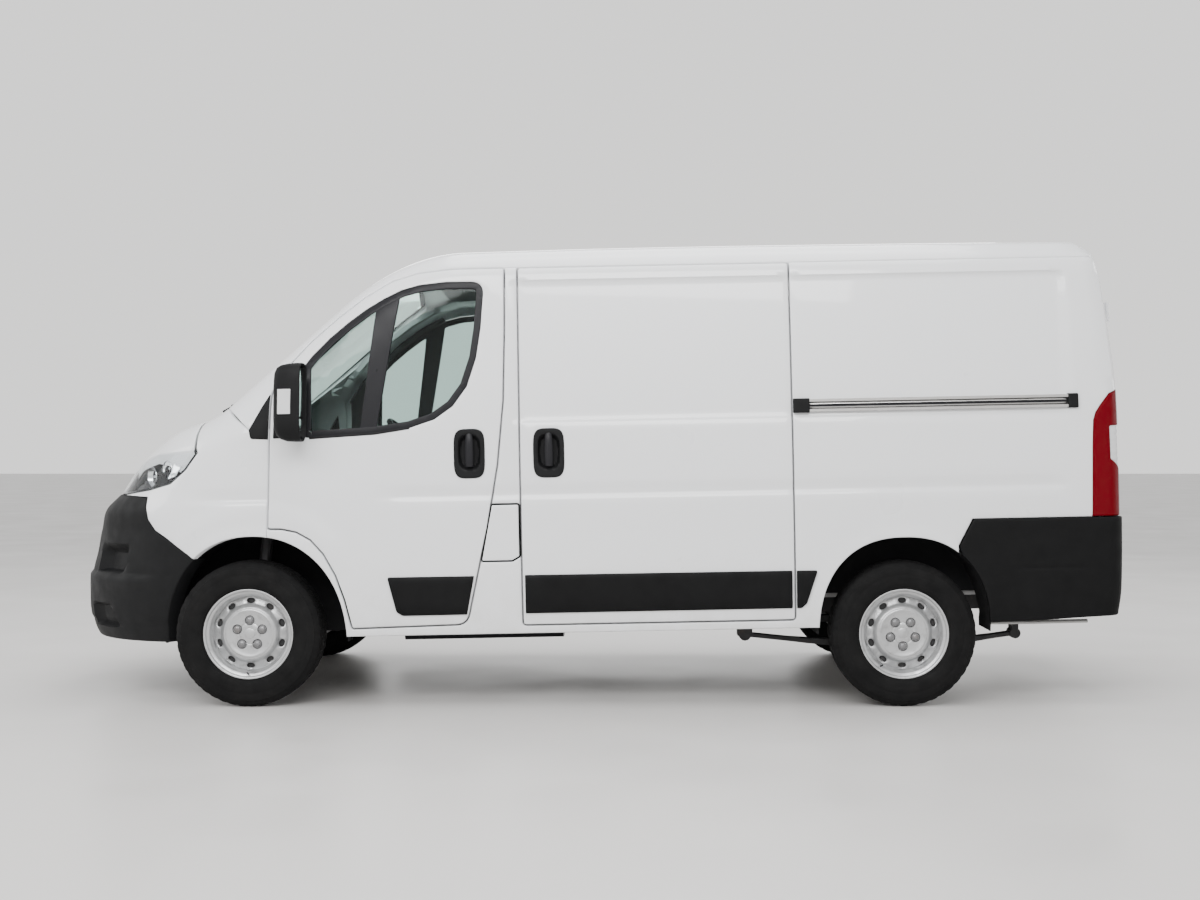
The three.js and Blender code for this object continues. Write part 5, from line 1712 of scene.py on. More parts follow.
def rear_door(sign, name):
    body = f"{name}_rear_door"
    outline = REAR_DOOR_HALF * np.array([sign, 1.0])
    panel(f"rear_door_{name}_skin", REAR, [dense(outline, 12)], PAINT, (), 12, rear_shape, spacing=20,
        levels=REAR_LEVELS, body=body, slot="body_paint", stands_for=(f"rear_door_{name}",))
    box_half = rounded([(REAR_DOOR_EDGE - 4, REAR_DOOR_BOTTOM + 4, 10),
            (REAR_DOOR_EDGE - 4, REAR_DOOR_TOP - 4, 86), (20, REAR_DOOR_TOP - 4), (20, REAR_DOOR_BOTTOM + 4)])
    box_half = box_half * np.array([sign, 1.0])
    window = rectangle(150, 650, 1350, 1810, 40) * np.array([sign, 1.0])
    lower = rectangle(150, 650, 620, 1180, 40) * np.array([sign, 1.0])
    panel(f"rear_door_{name}_frame", REAR, [dense(box_half, 16)], PAINT,
        [dense(window, 16), dense(lower, 16)], 50, roll=0, proud=-21.5, spacing=60, body=body,
        slot="body_paint")
    panel(f"rear_door_{name}_lining", REAR, [dense(grown(lower, 22), 16)], TRIM, (), 53.5,
        lambda u, v: 2.5 * np.cos(v / 30.0) ** 8, roll=0, proud=-51.0, spacing=20, body=body, slot="cab_trim")
    for k, z in enumerate((620.0, 1180.0, 1745.0)):
        x_pin = 4012.0
        rows_z = np.linspace(z - 44, z + 44, 9)
        surface = REAR.at(np.stack([np.full(9, sign * 740.0), rows_z], 1), -1.5)[:, 0]
        knuckle = [(x_pin - 1.5, sign * (REAR_DOOR_EDGE + 3.5), zz) for zz in rows_z]
        v1, f1 = tube(knuckle, 9.5, 18, up=(1, 0, 0))
        leaf = []
        for zz, xs in zip(rows_z, surface):
            s = sign
            leaf.append(np.array([(x_pin + 7, s * (REAR_DOOR_EDGE + 3), zz),
                        (x_pin - 3, s * (REAR_DOOR_EDGE - 8), zz), (xs + 6, s * 770, zz),
                        (xs + 5, s * 690, zz), (xs - 3, s * 690, zz), (xs - 3, s * 770, zz),
                        (x_pin - 9, s * (REAR_DOOR_EDGE - 2), zz)]))
        v2, f2 = ring_sweep(leaf, closed=False)
        mesh_piece(f"rear_hinge_{name}_{k}", *joined((v1, f1), (v2, f2)), PAINT, body=body, slot="body_paint")
        bolts = []
        for dy, dz in ((716, -24), (716, 24), (752, 0)):
            c = REAR.at(np.array([(sign * dy, z + dz)]), -6.0)[0]
            v3, f3 = lathe([(0.01, 4), (4, 3.6), (6.5, 2.2), (7.5, -2), (0.01, -2)], 12)
            bolts.append((shifted(np.stack([v3[:, 1], v3[:, 0], v3[:, 2]], 1), c), [g[::-1] for g in f3]))
        mesh_piece(f"rear_hinge_{name}_{k}_bolts", *joined(*bolts), PAINT, body=body, slot="body_paint")


both(rear_door)


def opening_return(part, corners):
    """A painted strip that lines the rear door opening."""
    loop = dense(np.array(corners, float), 20)
    panel(f"rear_opening_{part}", REAR, [loop], PAINT, (), 90, roll=0, proud=-62, spacing=60,
        slot="body_paint")


def rear_furniture():
    plate = rounded([(-604, 1052, 8), (-112, 1052, 8), (-112, 1158, 8), (-604, 1158, 8)])
    panel("plate_blank", REAR, [dense(plate, 12)], PLATE, (), 12,
        lambda u, v: 0.8 * (np.abs(v - 1105) < 44) * (np.abs(u + 358) < 236), roll=1.5, proud=-6.5,
        spacing=10, body="left_rear_door", slot="lamp_reflector")
    panel("plate_holder", REAR, [dense(grown(plate, 11), 12)], BLACK, (), 14, roll=2, proud=-8.8, spacing=24,
        body="left_rear_door", slot="black_plastic")
    lamp = rounded([(-520, 1200, 8), (-196, 1200, 8), (-196, 1232, 10), (-520, 1232, 10)])
    panel("plate_lamp_cover", REAR, [dense(lamp, 8)], BLACK, (), 9, roll=6, proud=14, spacing=12,
        body="left_rear_door", slot="black_plastic")
    handle = np.array([(-54 - 38 * math.copysign(abs(math.cos(t)) ** 0.55, math.cos(t)),
                1236 + 88 * math.copysign(abs(math.sin(t)) ** 0.42, math.sin(t)))
            for t in np.linspace(0, 2 * math.pi, 60, endpoint=False)])
    handle[:, 0] -= 6

    def dish(u, v):
        e = (np.abs((u + 60) / 28) ** 3 + np.abs((v - 1242) / 66) ** 3) ** (1 / 3)
        return 9 * (1 - step(e, 0.72, 1.0))

    panel("rear_handle_plate", REAR, [handle], BLACK, (), 14, dish, roll=3.5, proud=8, spacing=6,
        body="left_rear_door", slot="black_plastic")
    z = np.linspace(1236 - 46, 1236 + 72, 11)
    path = REAR.at(np.stack([np.full(11, -60.0), z], 1), -11 + 8 * np.abs((z - 1248) / 62) ** 4)
    mesh_piece("rear_handle_grip", *tube(path, np.array([[10, 7.5]] * 11, float), 14, up=(1, 0, 0)),
        BLACK_SMOOTH, body="left_rear_door", slot="black_plastic")
    panel("rear_door_meeting_seal", REAR,
        [dense(np.array([(-13, 482), (-5, 482), (-5, 1976), (-13, 1976)], float), 20)], RUBBER_SEAL, (), 40,
        roll=0, proud=-13.5, spacing=60, body="left_rear_door", slot="black_plastic")
    top_lamp = rounded([(-150, 2022, 8), (150, 2022, 8), (150, 2050, 10), (-150, 2050, 10)])
    panel("high_stop_lamp", REAR, [dense(top_lamp, 8)], RED, (), -2.0, roll=3, proud=12, spacing=9,
        slot="tail_lens")
    for sign, name in ((-1, "left"), (1, "right")):
        opening_return(f"flange_{name}", [(sign * 786, 486), (sign * 814, 486), (sign * 814, 1900),
                (sign * 786, 1900)])
    opening_return("header", [(-790, 1966), (790, 1966), (790, 2004), (-790, 2004)])
    opening_return("sill", [(-800, 446), (800, 446), (800, 480), (-800, 480)])


rear_furniture()


def cladding_loop(sign):
    arch = REAR_ARCH.outline(0, 90)
    arch = arch[(arch[:, 0] > 3256) & (arch[:, 1] > 318) & (arch[:, 1] < 676)]
    arch = arch[np.argsort(-arch[:, 1])]
    low = [(3412, 322), (3700, 331)]
    low_line = open_line(low, 14)
    low_rear = [(u, 332 + (u - 3700) * 0.05) for u in range(3716, 4010, 14)]
    edge = corner_line([(REAR_DOOR_EDGE - 4, z) for z in np.arange(348, 797, 14)], sign)
    top = open_line([(edge[-1, 0], CLADDING_TOP), (3319, CLADDING_TOP - 1)], 14)
    tip = np.array([(CLADDING_FRONT[0][0] + 2, CLADDING_FRONT[0][1] + 2)])
    return np.concatenate([tip, arch, low_line, [p for p in low_rear if p[0] < edge[0, 0] - 6], edge, top])


def rear_corner(sign, name):
    def shape(u, v):
        groove = np.exp(-(((u - 3892) / 3.0) ** 2)) * (v < 792)
        side = 2.5 * step(v, 560, 566) * (1 - step(v, 572, 578)) * step(u, 3500,
            3530) * (1 - step(u, 3800, 3830))
        tuck = 16 * (1 - step(v, 322, 470)) * step(u, 3860, 4040)
        return 3.5 * groove + side * 0.5 + tuck

    panel(f"rear_corner_{name}", side_map(sign), [cladding_loop(sign)], BLACK_SIDE, (),
        lambda x, z: 24 + 0 * z, shape, roll=6, proud=10, spacing=20, levels=(560, 566, 572, 578),
        slot="black_plastic")


def rear_corner_lining(sign, name):
    """The load space's white wall behind the rear cladding."""
    loop = rectangle(3420, 3950, 482, 790, 4)
    panel(f"rear_corner_lining_{name}", side_map(sign), [dense(loop, 20)], PAINT, (), 85, roll=0, proud=-62,
        spacing=40, slot="body_paint")


both(rear_corner)
both(rear_corner_lining)


def rear_step():
    """The bumper under the rear doors, with a ribbed tread on top."""
    ys = np.linspace(-846, 846, 95)
    sections = []
    for y in ys:
        face = WHEELBASE + float(rear_face_at(440.0)) + 14 * (1 - (y / HALF_WIDTH) ** 2)
        tread = 2.2 * (math.sin(y / 9.0) > 0.1) * (abs(y) < 640)
        out = face + 17 - 9 * step(abs(y), 760, 846)
        sections.append(
            np.array(
                [
                    (face - 74, y, 462 + tread * 0.0),
                    (face - 30, y, 463 + tread),
                    (out - 14, y, 463 + tread),
                    (out - 4, y, 458),
                    (out, y, 446),
                    (out - 1, y, 410),
                    (out - 7, y, 372),
                    (out - 18, y, 350),
                    (out - 34, y, 345),
                    (face - 74, y, 347),
                ]
            )
        )
    mesh_piece("rear_step", *ring_sweep(sections, closed=False), BLACK, slot="black_plastic",
        stands_for=("rear_bumper",), sharp=30)
    for sign, name in ((-1, "left"), (1, "right")):
        y = np.linspace(600, 720, 14)
        face = [WHEELBASE + float(rear_face_at(400.0)) + 14 * (1 - (v / HALF_WIDTH) ** 2) for v in y]
        rings = [np.array([(f + 12, sign * v, 392), (f + 19, sign * v, 394), (f + 19.5, sign * v, 420),
                    (f + 12, sign * v, 422)]) for f, v in zip(face, y)]
        mesh_piece(f"rear_reflector_{name}", *ring_sweep(rings, closed=False), RED, slot="tail_lens")
    bar = tube([(3420, -872, 308), (3600, -868, 306), (3870, -866, 307)], np.array([[17, 9]] * 3, float), 12)
    mesh_piece("rear_corner_stay_left", *bar, PRIMER, slot="floor_metal")
    mesh_piece("rear_corner_stay_right", *mirrored(bar), PRIMER, slot="floor_metal")


rear_step()

# ---------------------------------------------------------------------------------------------------
# Wheel arches and sills
# ---------------------------------------------------------------------------------------------------


def arch_liner(arch, sign, name, inner_y):
    """A moulded liner that follows the arch from the body's edge inwards."""
    edge = arch.outline(0, 60)[1:-1]
    n = len(edge)
    lip = on_side(edge, sign)
    sections = []
    for k in range(n):
        x, z = edge[k]
        outer_y = abs(lip[k, 1]) - 13
        ribs = 5 * (math.sin(k * 0.62) > 0.75)
        cx, cz = arch.x, arch.z
        out = np.array([x - cx, z - cz])
        out /= np.linalg.norm(out)
        row_points = []
        for y, r in ((outer_y, 2.0), (outer_y - 40, 4.0), ((outer_y + inner_y) / 2, 5 + ribs),
            (inner_y, 6 + ribs), (inner_y, 12), ((outer_y + inner_y) / 2, 13 + ribs), (outer_y - 40, 9),
            (outer_y, 7.0)):
            row_points.append((x + out[0] * r, sign * y, z + out[1] * r))
        sections.append(np.array(row_points))
    mesh_piece(name, *ring_sweep(sections, closed=False), LINER, slot="wheel_liner")


for wheel_sign, side_name in ((-1, "left"), (1, "right")):
    arch_liner(FRONT_ARCH, wheel_sign, f"front_arch_liner_{side_name}", 900.0)
    arch_liner(REAR_ARCH, wheel_sign, f"rear_arch_liner_{side_name}", 716.0)

# ---------------------------------------------------------------------------------------------------
# Wheels
# ---------------------------------------------------------------------------------------------------

FLANGE_R = 208.0


def tyre_mesh():
    """Tyre about the y axis; outer side towards -y. The tread has four grooves and cross-cut blocks."""
    side = [(FLANGE_R - 13, -84), (FLANGE_R - 4, -89), (FLANGE_R + 3, -93), (214, -99), (222, -102.5),
        (224, -103.8), (236, -105.4), (250, -106.6), (268, -107), (270, -106.2), (273, -106.0), (276, -106.4),
        (292, -104.8), (304, -102), (306, -99.6), (314, -95.6), (321, -90), (327.5, -84), (330, -80)]
    tread = [(331.4, -76), (331.8, -64), (324, -63), (324, -57), (332.4, -56), (333, -34), (325, -33),
        (325, -24), (333, -23), (333, -6), (333, 6), (333, 23), (325, 24), (325, 33), (333, 34), (332.4, 56),
        (324, 57), (324, 63), (331.8, 64), (331.4, 76)]
    inside = [(FLANGE_R - 13, 84), (FLANGE_R - 14, 70), (FLANGE_R - 13, -70)]
    profile = side + tread + [(r, -y) for r, y in side[::-1]] + inside[1:]

    def shape(p, k):
        p = p.copy()
        wide = np.abs(p[:, 1])
        shoulder = (p[:, 0] > 304) & (wide > 62)
        block = k % 6 in (0, 1)
        middle = (p[:, 0] > 330) & (wide < 58)
        p[shoulder & block, 0] -= 1.8
        p[shoulder & block, 1] *= 0.995
        fine = (k + (p[:, 1] > 0) * 3) % 6 == 3
        p[middle & fine, 0] -= 4.0
        return p

    return lathe(profile, 264, shape)


def rim_mesh():
    """Barrel and flanges of a steel rim, outer side towards -y."""
    profile = [(FLANGE_R, -86), (FLANGE_R - 1, -89), (FLANGE_R - 4, -90.5), (FLANGE_R - 8, -90),
        (FLANGE_R - 12, -87), (FLANGE_R - 15, -80), (186, -77), (182.5, -75), (179, -70), (177, -60),
        (173, -56), (170, -50), (169, -30), (160, -22), (160, 24), (168, 34), (178, 58), (183, 74),
        (FLANGE_R - 13, 80), (FLANGE_R - 3, 88), (FLANGE_R, 86), (FLANGE_R - 2, 82), (FLANGE_R - 9, 76),
        (188, 72), (183, 56), (174, 32), (166, 22), (166, -18), (174, -28), (176, -48), (182, -56),
        (187, -66), (190, -74), (FLANGE_R - 8, -80), (FLANGE_R - 2, -83)]
    return lathe(profile, 120)


DISC = curve([(0, -60), (30, -60), (44, -58), (50, -57.5), (86, -58), (96, -60.5), (104, -63), (111, -63),
        (118, -60), (127, -52), (134, -42), (142, -37), (152, -35), (160, -33), (168, -29), (172, -26)])
DISC_R = 169
BOLT_R = 60
HOLE_RINGS = (1.2, 3.2, 6.0)


class Disc:
    """Flat map of a wheel's disc: (x, z) about the hub, depth along the axle."""

    def at(self, uv, inset=0.0):
        r = np.hypot(uv[:, 0], uv[:, 1])
        return np.stack([uv[:, 0], DISC(r) + inset, uv[:, 1]], 1)


def disc_mesh():
    circle = lambda r, n=120: np.array([(r * math.sin(t), r * math.cos(t))
            for t in np.linspace(0, 2 * math.pi, n, endpoint=False)])
    holes = []
    for k in range(10):
        a = 2 * math.pi * k / 10
        ring = circle(1, 32) * np.array([18.5, 13.0]) + np.array([0, 150.0])
        turn = np.array([[math.cos(a), math.sin(a)], [-math.sin(a), math.cos(a)]])
        holes.append(ring @ turn.T)
    bolts = [np.array([BOLT_R * math.sin(2 * math.pi * k / 5), BOLT_R * math.cos(2 * math.pi * k / 5)])
        for k in range(5)]
    loose = []
    for r in (4, 8, 12, 16, 18, 20, 21.5, 23, 25):
        for b in bolts:
            loose.append(b + circle(r, 24))
    rings = [circle(r, 96) for r in (46, 49, 53, 96, 100, 104, 108, 112, 115, 118, 122, 126, 130, 134, 138)]
    extra = np.concatenate(loose + rings)
    edges, points = [], []
    for loop in [circle(DISC_R)] + holes:
        loop = oriented(dense(loop, 9.0))
        start = len(points)
        points += list(loop)
        edges += [(start + k, start + (k + 1) % len(loop)) for k in range(len(loop))]
    hole_rings = [p for h in holes for g in HOLE_RINGS for p in grown(h, g)]
    made, _, triangles, *_ = delaunay_2d_cdt([Vector((p[0], p[1]))
            for p in points + hole_rings + list(extra)], edges, [], 0, 1e-4)
    flat = np.array([(v.x, v.y) for v in made])
    tri = np.array([t for t in triangles if len(t) == 3], int)
    mid = flat[tri].mean(1)
    good = contains(circle(DISC_R), mid)
    for h in holes:
        good &= ~contains(h, mid)
    tri = tri[good]
    used, remap = np.unique(tri, return_inverse=True)
    flat, tri = flat[used], remap.reshape(-1, 3)
    a, b, c = flat[tri[:, 0]], flat[tri[:, 1]], flat[tri[:, 2]]
    area = (b[:, 0] - a[:, 0]) * (c[:, 1] - a[:, 1]) - (b[:, 1] - a[:, 1]) * (c[:, 0] - a[:, 0])
    tri[area < 0] = tri[area < 0][:, ::-1]
    seen = {(t[k], t[(k + 1) % 3]) for t in tri for k in range(3)}
    border = np.array([e for e in seen if (e[1], e[0]) not in seen], int)
    distance = gap_to(flat, flat[border[:, 0]], flat[border[:, 1]])
    near_hole = (distance < 6) & (np.hypot(flat[:, 0], flat[:, 1]) < 166)
    depth = np.where(near_hole, 3.5 * (1 - distance / 6) ** 2, 0.0)
    r = np.hypot(flat[:, 0], flat[:, 1])
    depth = depth + 2.0 * np.exp(-(((r - 112) / 2.6) ** 2)) + 1.6 * np.exp(-(((r - 49) / 2.2) ** 2))
    for centre in bolts:
        d = np.hypot(*(flat - centre).T)
        depth = depth + 8.0 * (1 - step(d, 19.0, 23.0))
    disc = Disc()
    return sheet_solid(flat, tri, border, disc.at(flat, depth), disc.at(flat, depth + 4.0)), bolts


def bolt_mesh(centre):
    """A domed hexagon bolt head standing in its recess."""
    a = np.linspace(0, 2 * math.pi, 24, endpoint=False)
    hexagon = 1 / np.cos((a + math.pi / 6) % (math.pi / 3) - math.pi / 6)
    rings = []
    for r, y, hexed in ((0.02, -66.5, 0), (7, -66.5, 0), (9.6, -65.6, 0.4), (12.2, -64.0, 1), (12.5, -62, 1),
        (12.5, -56, 1), (17.0, -55.4, 0), (17.4, -53, 0), (17.4, -49.5, 0), (0.02, -49.5, 0)):
        k = 1 + (hexagon - 1) * hexed
        rings.append(np.stack([centre[0] + r * k * np.sin(a), np.full(24, y), centre[1] + r * k * np.cos(a)],
                1))
    return ring_sweep(rings, closed=False)


def make_wheels():
    tyre, rim = tyre_mesh(), rim_mesh()
    disc, bolt_places = disc_mesh()
    bolts = joined(*[bolt_mesh(c) for c in bolt_places])
    valve = tube([(0, -86, -182), (0, -92, -180), (0, -101, -176), (0, -110, -173)], [4.5, 4.5, 3.6, 3.4], 12)
    drum_profile = [(62, -40), (108, -38), (114, -32), (115, -22), (158, -20), (158, -15), (116, -12),
        (118, 18), (118, 26), (62, 28)]
    drum = lathe(drum_profile, 72, lambda p, k: p + np.array([1.5 * (k % 6 == 0), 0]) * (p[:, :1] > 100))
    hub_cap = lathe([(0.01, -62.5), (20, -62.3), (24, -60.5), (25, -57), (0.01, -57)], 36)
    for front, x, half, turn in ((True, 0.0, FRONT_HALF_TRACK, (0.0, 0.0)),
        (False, WHEELBASE, REAR_HALF_TRACK, (math.radians(36.0), 0.0))):
        for sign, side_name in ((-1, "left"), (1, "right")):
            end = "front" if front else "rear"
            body = f"{end}_{side_name}_wheel"
            hub = np.array([AXLE * 1000 + x, sign * half, AXLE_Z * 1000])

            def placed(part, angle=0.0):
                v, f = part
                v = np.asarray(v, float)
                c, s = math.cos(angle), math.sin(angle)
                v = np.stack([v[:, 0] * c + v[:, 2] * s, v[:, 1], -v[:, 0] * s + v[:, 2] * c], 1)
                if sign > 0:
                    v, f = v * np.array([1, -1, 1]), [tuple(g[::-1]) for g in f]
                return (v + hub) / 1000, f

            spin = turn[0]
            flat_tyre = placed(tyre, spin)
            mesh_piece(f"tyre_{end}_{side_name}_rubber", flat_tyre[0], flat_tyre[1], TYRE_RUBBER, body=body,
                slot="tyre_rubber", stands_for=(f"tyre_{end}_{side_name}",), raked=False, sharp=28)
            for part, made, material, slot in (
                ("barrel", rim, SILVER, "wheel_steel"),
                ("disc", disc, SILVER, "wheel_steel"),
                ("bolts", bolts, BOLT, "underbody_steel"),
                ("valve", valve, BLACK_SMOOTH, "black_plastic"),
                ("cap", hub_cap, SILVER, "wheel_steel"),
            ):
                v, f = placed(made, spin)
                mesh_piece(f"wheel_{end}_{side_name}_{part}", v, f, material, body=body, slot=slot,
                    raked=False, stands_for=(f"rim_{end}_{side_name}",) if part == "disc" else ())
            v, f = placed(drum)
            mesh_piece(f"brake_{end}_{side_name}", v, f, UNDERBODY, body=body, slot="engine_metal",
                raked=False)


BOLT = steel("zinc_wheel_bolt", (0.22, 0.22, 0.225), 0.42, 0.9, 0.3)
make_wheels()

# ---------------------------------------------------------------------------------------------------
# Cab
# ---------------------------------------------------------------------------------------------------


def soft_block(low, high, crown=(0.0, 0.0, 18.0), lean=0.0, power=5.0):
    """A stuffed block: a rounded box whose faces crown and whose sides pull in between the corners."""
    low, high = np.array(low, float), np.array(high, float)
    half, middle = (high - low) / 2, (high + low) / 2
    work = bmesh.new()
    bmesh.ops.create_cube(work, size=2)
    bmesh.ops.subdivide_edges(work, edges=list(work.edges), cuts=15, use_grid_fill=True)
    work.verts.index_update()
    p = np.array([v.co for v in work.verts])
    faces = [tuple(v.index for v in f.verts) for f in work.faces]
    work.free()
    norm = (np.abs(p) ** power).sum(1) ** (1 / power)
    cube = np.abs(p).max(1)
    p = p * (cube / norm)[:, None]
    q = p * half
    for axis in range(3):
        others = [a for a in range(3) if a != axis]
        bulge = np.prod([1 - p[:, a] ** 2 * 0.92 for a in others], axis=0)
        q[:, axis] += np.sign(p[:, axis]) * np.abs(p[:, axis]) ** 3 * crown[axis] * np.clip(bulge, 0, 1)
    q[:, 0] += lean * (q[:, 2] + half[2])
    return q + middle, faces


def channels(part, axis, places, depth, width, face_axis, side):
    """Sewn channels across one face of a soft block."""
    v, f = part
    v = v.copy()
    centre = (v[:, face_axis].max() + v[:, face_axis].min()) / 2
    on_face = (v[:, face_axis] - centre) * side > 0
    for place in places:
        d = np.exp(-(((v[:, axis] - place) / width) ** 2))
        v[:, face_axis] -= side * depth * d * on_face
    return v, f


def refined(piece, levels=1):
    modifier = piece.modifiers.new("smooth", "SUBSURF")
    modifier.levels = modifier.render_levels = levels
    return piece


def cushion(name, part, material, stands_for=()):
    piece = mesh_piece(name, part[0], part[1], material, slot="seat_fabric", sharp=80, stands_for=stands_for)
    refined(piece)
    return piece


def seat_place(name, y0, y1, stands_for=()):
    """One seat: base, cushion, back, head restraint."""
    mid = (y0 + y1) / 2
    base = soft_block((700, y0 + 4, 745), (1172, y1 - 4, 868), crown=(6, 4, 14))
    base = channels(base, 1, (mid - (y1 - y0) * 0.27, mid + (y1 - y0) * 0.27), 9, 12, 2, 1)
    base = channels(base, 0, (800, 930, 1050), 5, 10, 2, 1)
    cushion(f"{name}_cushion", base, FABRIC, stands_for)
    back = soft_block((1040, y0 + 6, 852), (1148, y1 - 6, 1412), crown=(16, 4, 6), lean=0.085, power=6)
    back = channels(back, 1, (mid - (y1 - y0) * 0.27, mid + (y1 - y0) * 0.27), 9, 12, 0, -1)
    back = channels(back, 2, (1000, 1130, 1260), 5, 10, 0, -1)
    cushion(f"{name}_back", back, FABRIC)
    head = soft_block((1096, mid - 125, 1448), (1172, mid + 125, 1636), crown=(10, 6, 6), lean=0.07, power=5)
    cushion(f"{name}_headrest", head, FABRIC_PLAIN)
    for k, dy in enumerate((-58, 58)):
        post = tube([(1116, mid + dy, 1398), (1120, mid + dy, 1430), (1126, mid + dy, 1470)], 6.0, 12,
            up=(0, 1, 0))
        mesh_piece(f"{name}_post_{k}", *post, BRIGHT_STEEL, slot="rail_aluminium")


BRIGHT_STEEL = steel("bright_steel", (0.6, 0.6, 0.6), 0.25, 1.0)


def make_seats():
    seat_place("driver_seat", 190, 710, ("driver_seat",))
    seat_place("bench_middle", -350, 52, ("passenger_bench",))
    seat_place("bench_outer", -752, -356)
    for name, y0, y1 in (("driver", 236, 664), ("bench", -730, 30)):
        foot = block((742, y0, 482), (1150, y1, 746), 14)
        mesh_piece(f"{name}_seat_box", *foot, TRIM, slot="cab_trim")
    buckle = [block((1188, y - 16, 846), (1206, y + 16, 930), 6) for y in (176, 66, -354)]
    mesh_piece("belt_buckles", *joined(*buckle), BLACK_SMOOTH, slot="cab_trim")


def make_dash():
    """Dashboard: a swept section with an instrument hood, a centre stack and air vents."""
    ys = np.linspace(-872, 872, 73)
    sections = []
    for y in ys:
        hood = step(190 - abs(y - 440), 0, 70)
        stack = step(190 - abs(y), 0, 50)
        top = 1240 + 44 * hood + 16 * stack
        back = 405 + 22 * hood + 34 * stack
        section = [
            (-96, 1206),
            (40, 1226),
            (180, 1236 + 8 * hood),
            (300, top),
            (352, top + 4 * hood),
            (back, top - 16),
            (back + 12, top - 50 - 14 * hood),
            (back - 26 * hood + 2, 1130),
            (back + 2 + 10 * stack, 1060),
            (back - 60 + 50 * stack, 960 - 40 * stack),
            (back - 110 + 80 * stack, 900 - 70 * stack),
            (300, 850 - 20 * stack),
            (150, 822),
            (130, 824),
            (126, 1180),
            (-90, 1186),
        ]
        sections.append(np.array([(x, y, z) for x, z in section]))
    mesh_piece("dashboard_moulding", *ring_sweep(sections, closed=False), TRIM, slot="cab_trim",
        stands_for=("dashboard",), sharp=50)
    vents = []
    for y in (-760, -120, 120, 780):
        for k in range(5):
            v, f = block((412 + (26 if abs(y) == 120 else -4), y - 52, 1146 + k * 11),
                (424 + (26 if abs(y) == 120 else -4), y + 52, 1151 + k * 11), 1.5, 1)
            vents.append((v, f))
    mesh_piece("dashboard_vents", *joined(*vents), BLACK_SMOOTH, slot="cab_trim")
    screen = block((440, -92, 1052), (462, 92, 1132), 6)
    mesh_piece("dashboard_radio", *screen, GLOSS, slot="gloss_black")
    knobs = []
    for y in (-60, 0, 60):
        v, f = lathe([(0.01, -12), (14, -12), (17, -8), (18, 4), (0.01, 4)], 28)
        knobs.append((shifted(np.stack([-v[:, 1], v[:, 0], v[:, 2]], 1), (452, y, 1010)), f))
    mesh_piece("dashboard_knobs", *joined(*knobs), BLACK_SMOOTH, slot="cab_trim")
    lever = tube([(440, 70, 985), (475, 74, 1000), (505, 78, 1030), (520, 80, 1062)], [9, 8, 8, 19], 16)
    mesh_piece("gear_lever", *lever, BLACK_SMOOTH, slot="cab_trim")
    hood = block((330, 330, 1210), (372, 556, 1262), 10)
    mesh_piece("instrument_glass", *hood, GLOSS, slot="gloss_black")


def make_steering_wheel():
    centre = np.array([600.0, 440.0, 1195.0])
    tilt = math.radians(48)
    axis = np.array([math.cos(tilt), 0, math.sin(tilt)])
    across = np.array([0.0, 1.0, 0.0])
    up = np.cross(axis, across)
    a = np.linspace(0, 2 * math.pi, 73)[:-1]
    rings = []
    for t in a:
        out = across * math.cos(t) + up * math.sin(t)
        s = np.linspace(0, 2 * math.pi, 14, endpoint=False)
        thick = 15.5
        rings.append(centre + out * 187 + np.cos(s)[:, None] * out * thick * 0.9 + np.sin(s)[:, None] * axis
            * thick)
    mesh_piece("steering_rim", *ring_sweep(rings), GRIP, body="steering_wheel", slot="cab_trim",
        stands_for=("steering_wheel",))
    hub = []
    for r, h in ((0.02, 8), (44, 7), (62, 0), (70, -14), (66, -34), (34, -48), (26, -118), (0.02, -120)):
        t = np.linspace(0, 2 * math.pi, 36, endpoint=False)
        hub.append(centre + axis * h + (np.cos(t)[:, None] * across * r * 1.15 + np.sin(t)[:, None] * up * r))
    parts = [ring_sweep(hub, closed=False)]
    for angle in (8, 172, 236, 304):
        t = math.radians(angle)
        out = across * math.cos(t) - up * math.sin(t)
        path = [centre + out * r + axis * h for r, h in ((48, -18), (90, -14), (140, -8), (180, -2))]
        parts.append(tube(path, np.array([[20, 8], [15, 7], [13, 7], [16, 9]], float), 12, up=axis))
    mesh_piece("steering_hub", *joined(*parts), TRIM, body="steering_wheel", slot="cab_trim")
    column = tube([centre - axis * d for d in (106, 150, 230, 330, 440)], [38, 46, 54, 60, 66], 20,
        up=(0, 1, 0))
    mesh_piece("steering_shroud", *column, BLACK_SMOOTH, slot="cab_trim")
    for k, side in enumerate((-1, 1)):
        start = centre - axis * 158
        stalk = tube([start + across * side * 40, start + across * side * 110 + axis * 14,
                start + across * side * 170 + axis * 26], [6, 6, 8], 12)
        mesh_piece(f"steering_stalk_{k}", *stalk, BLACK_SMOOTH, slot="cab_trim")


GRIP = plastic("leather_wheel_rim", (0.012, 0.012, 0.013), 0.5, 520)


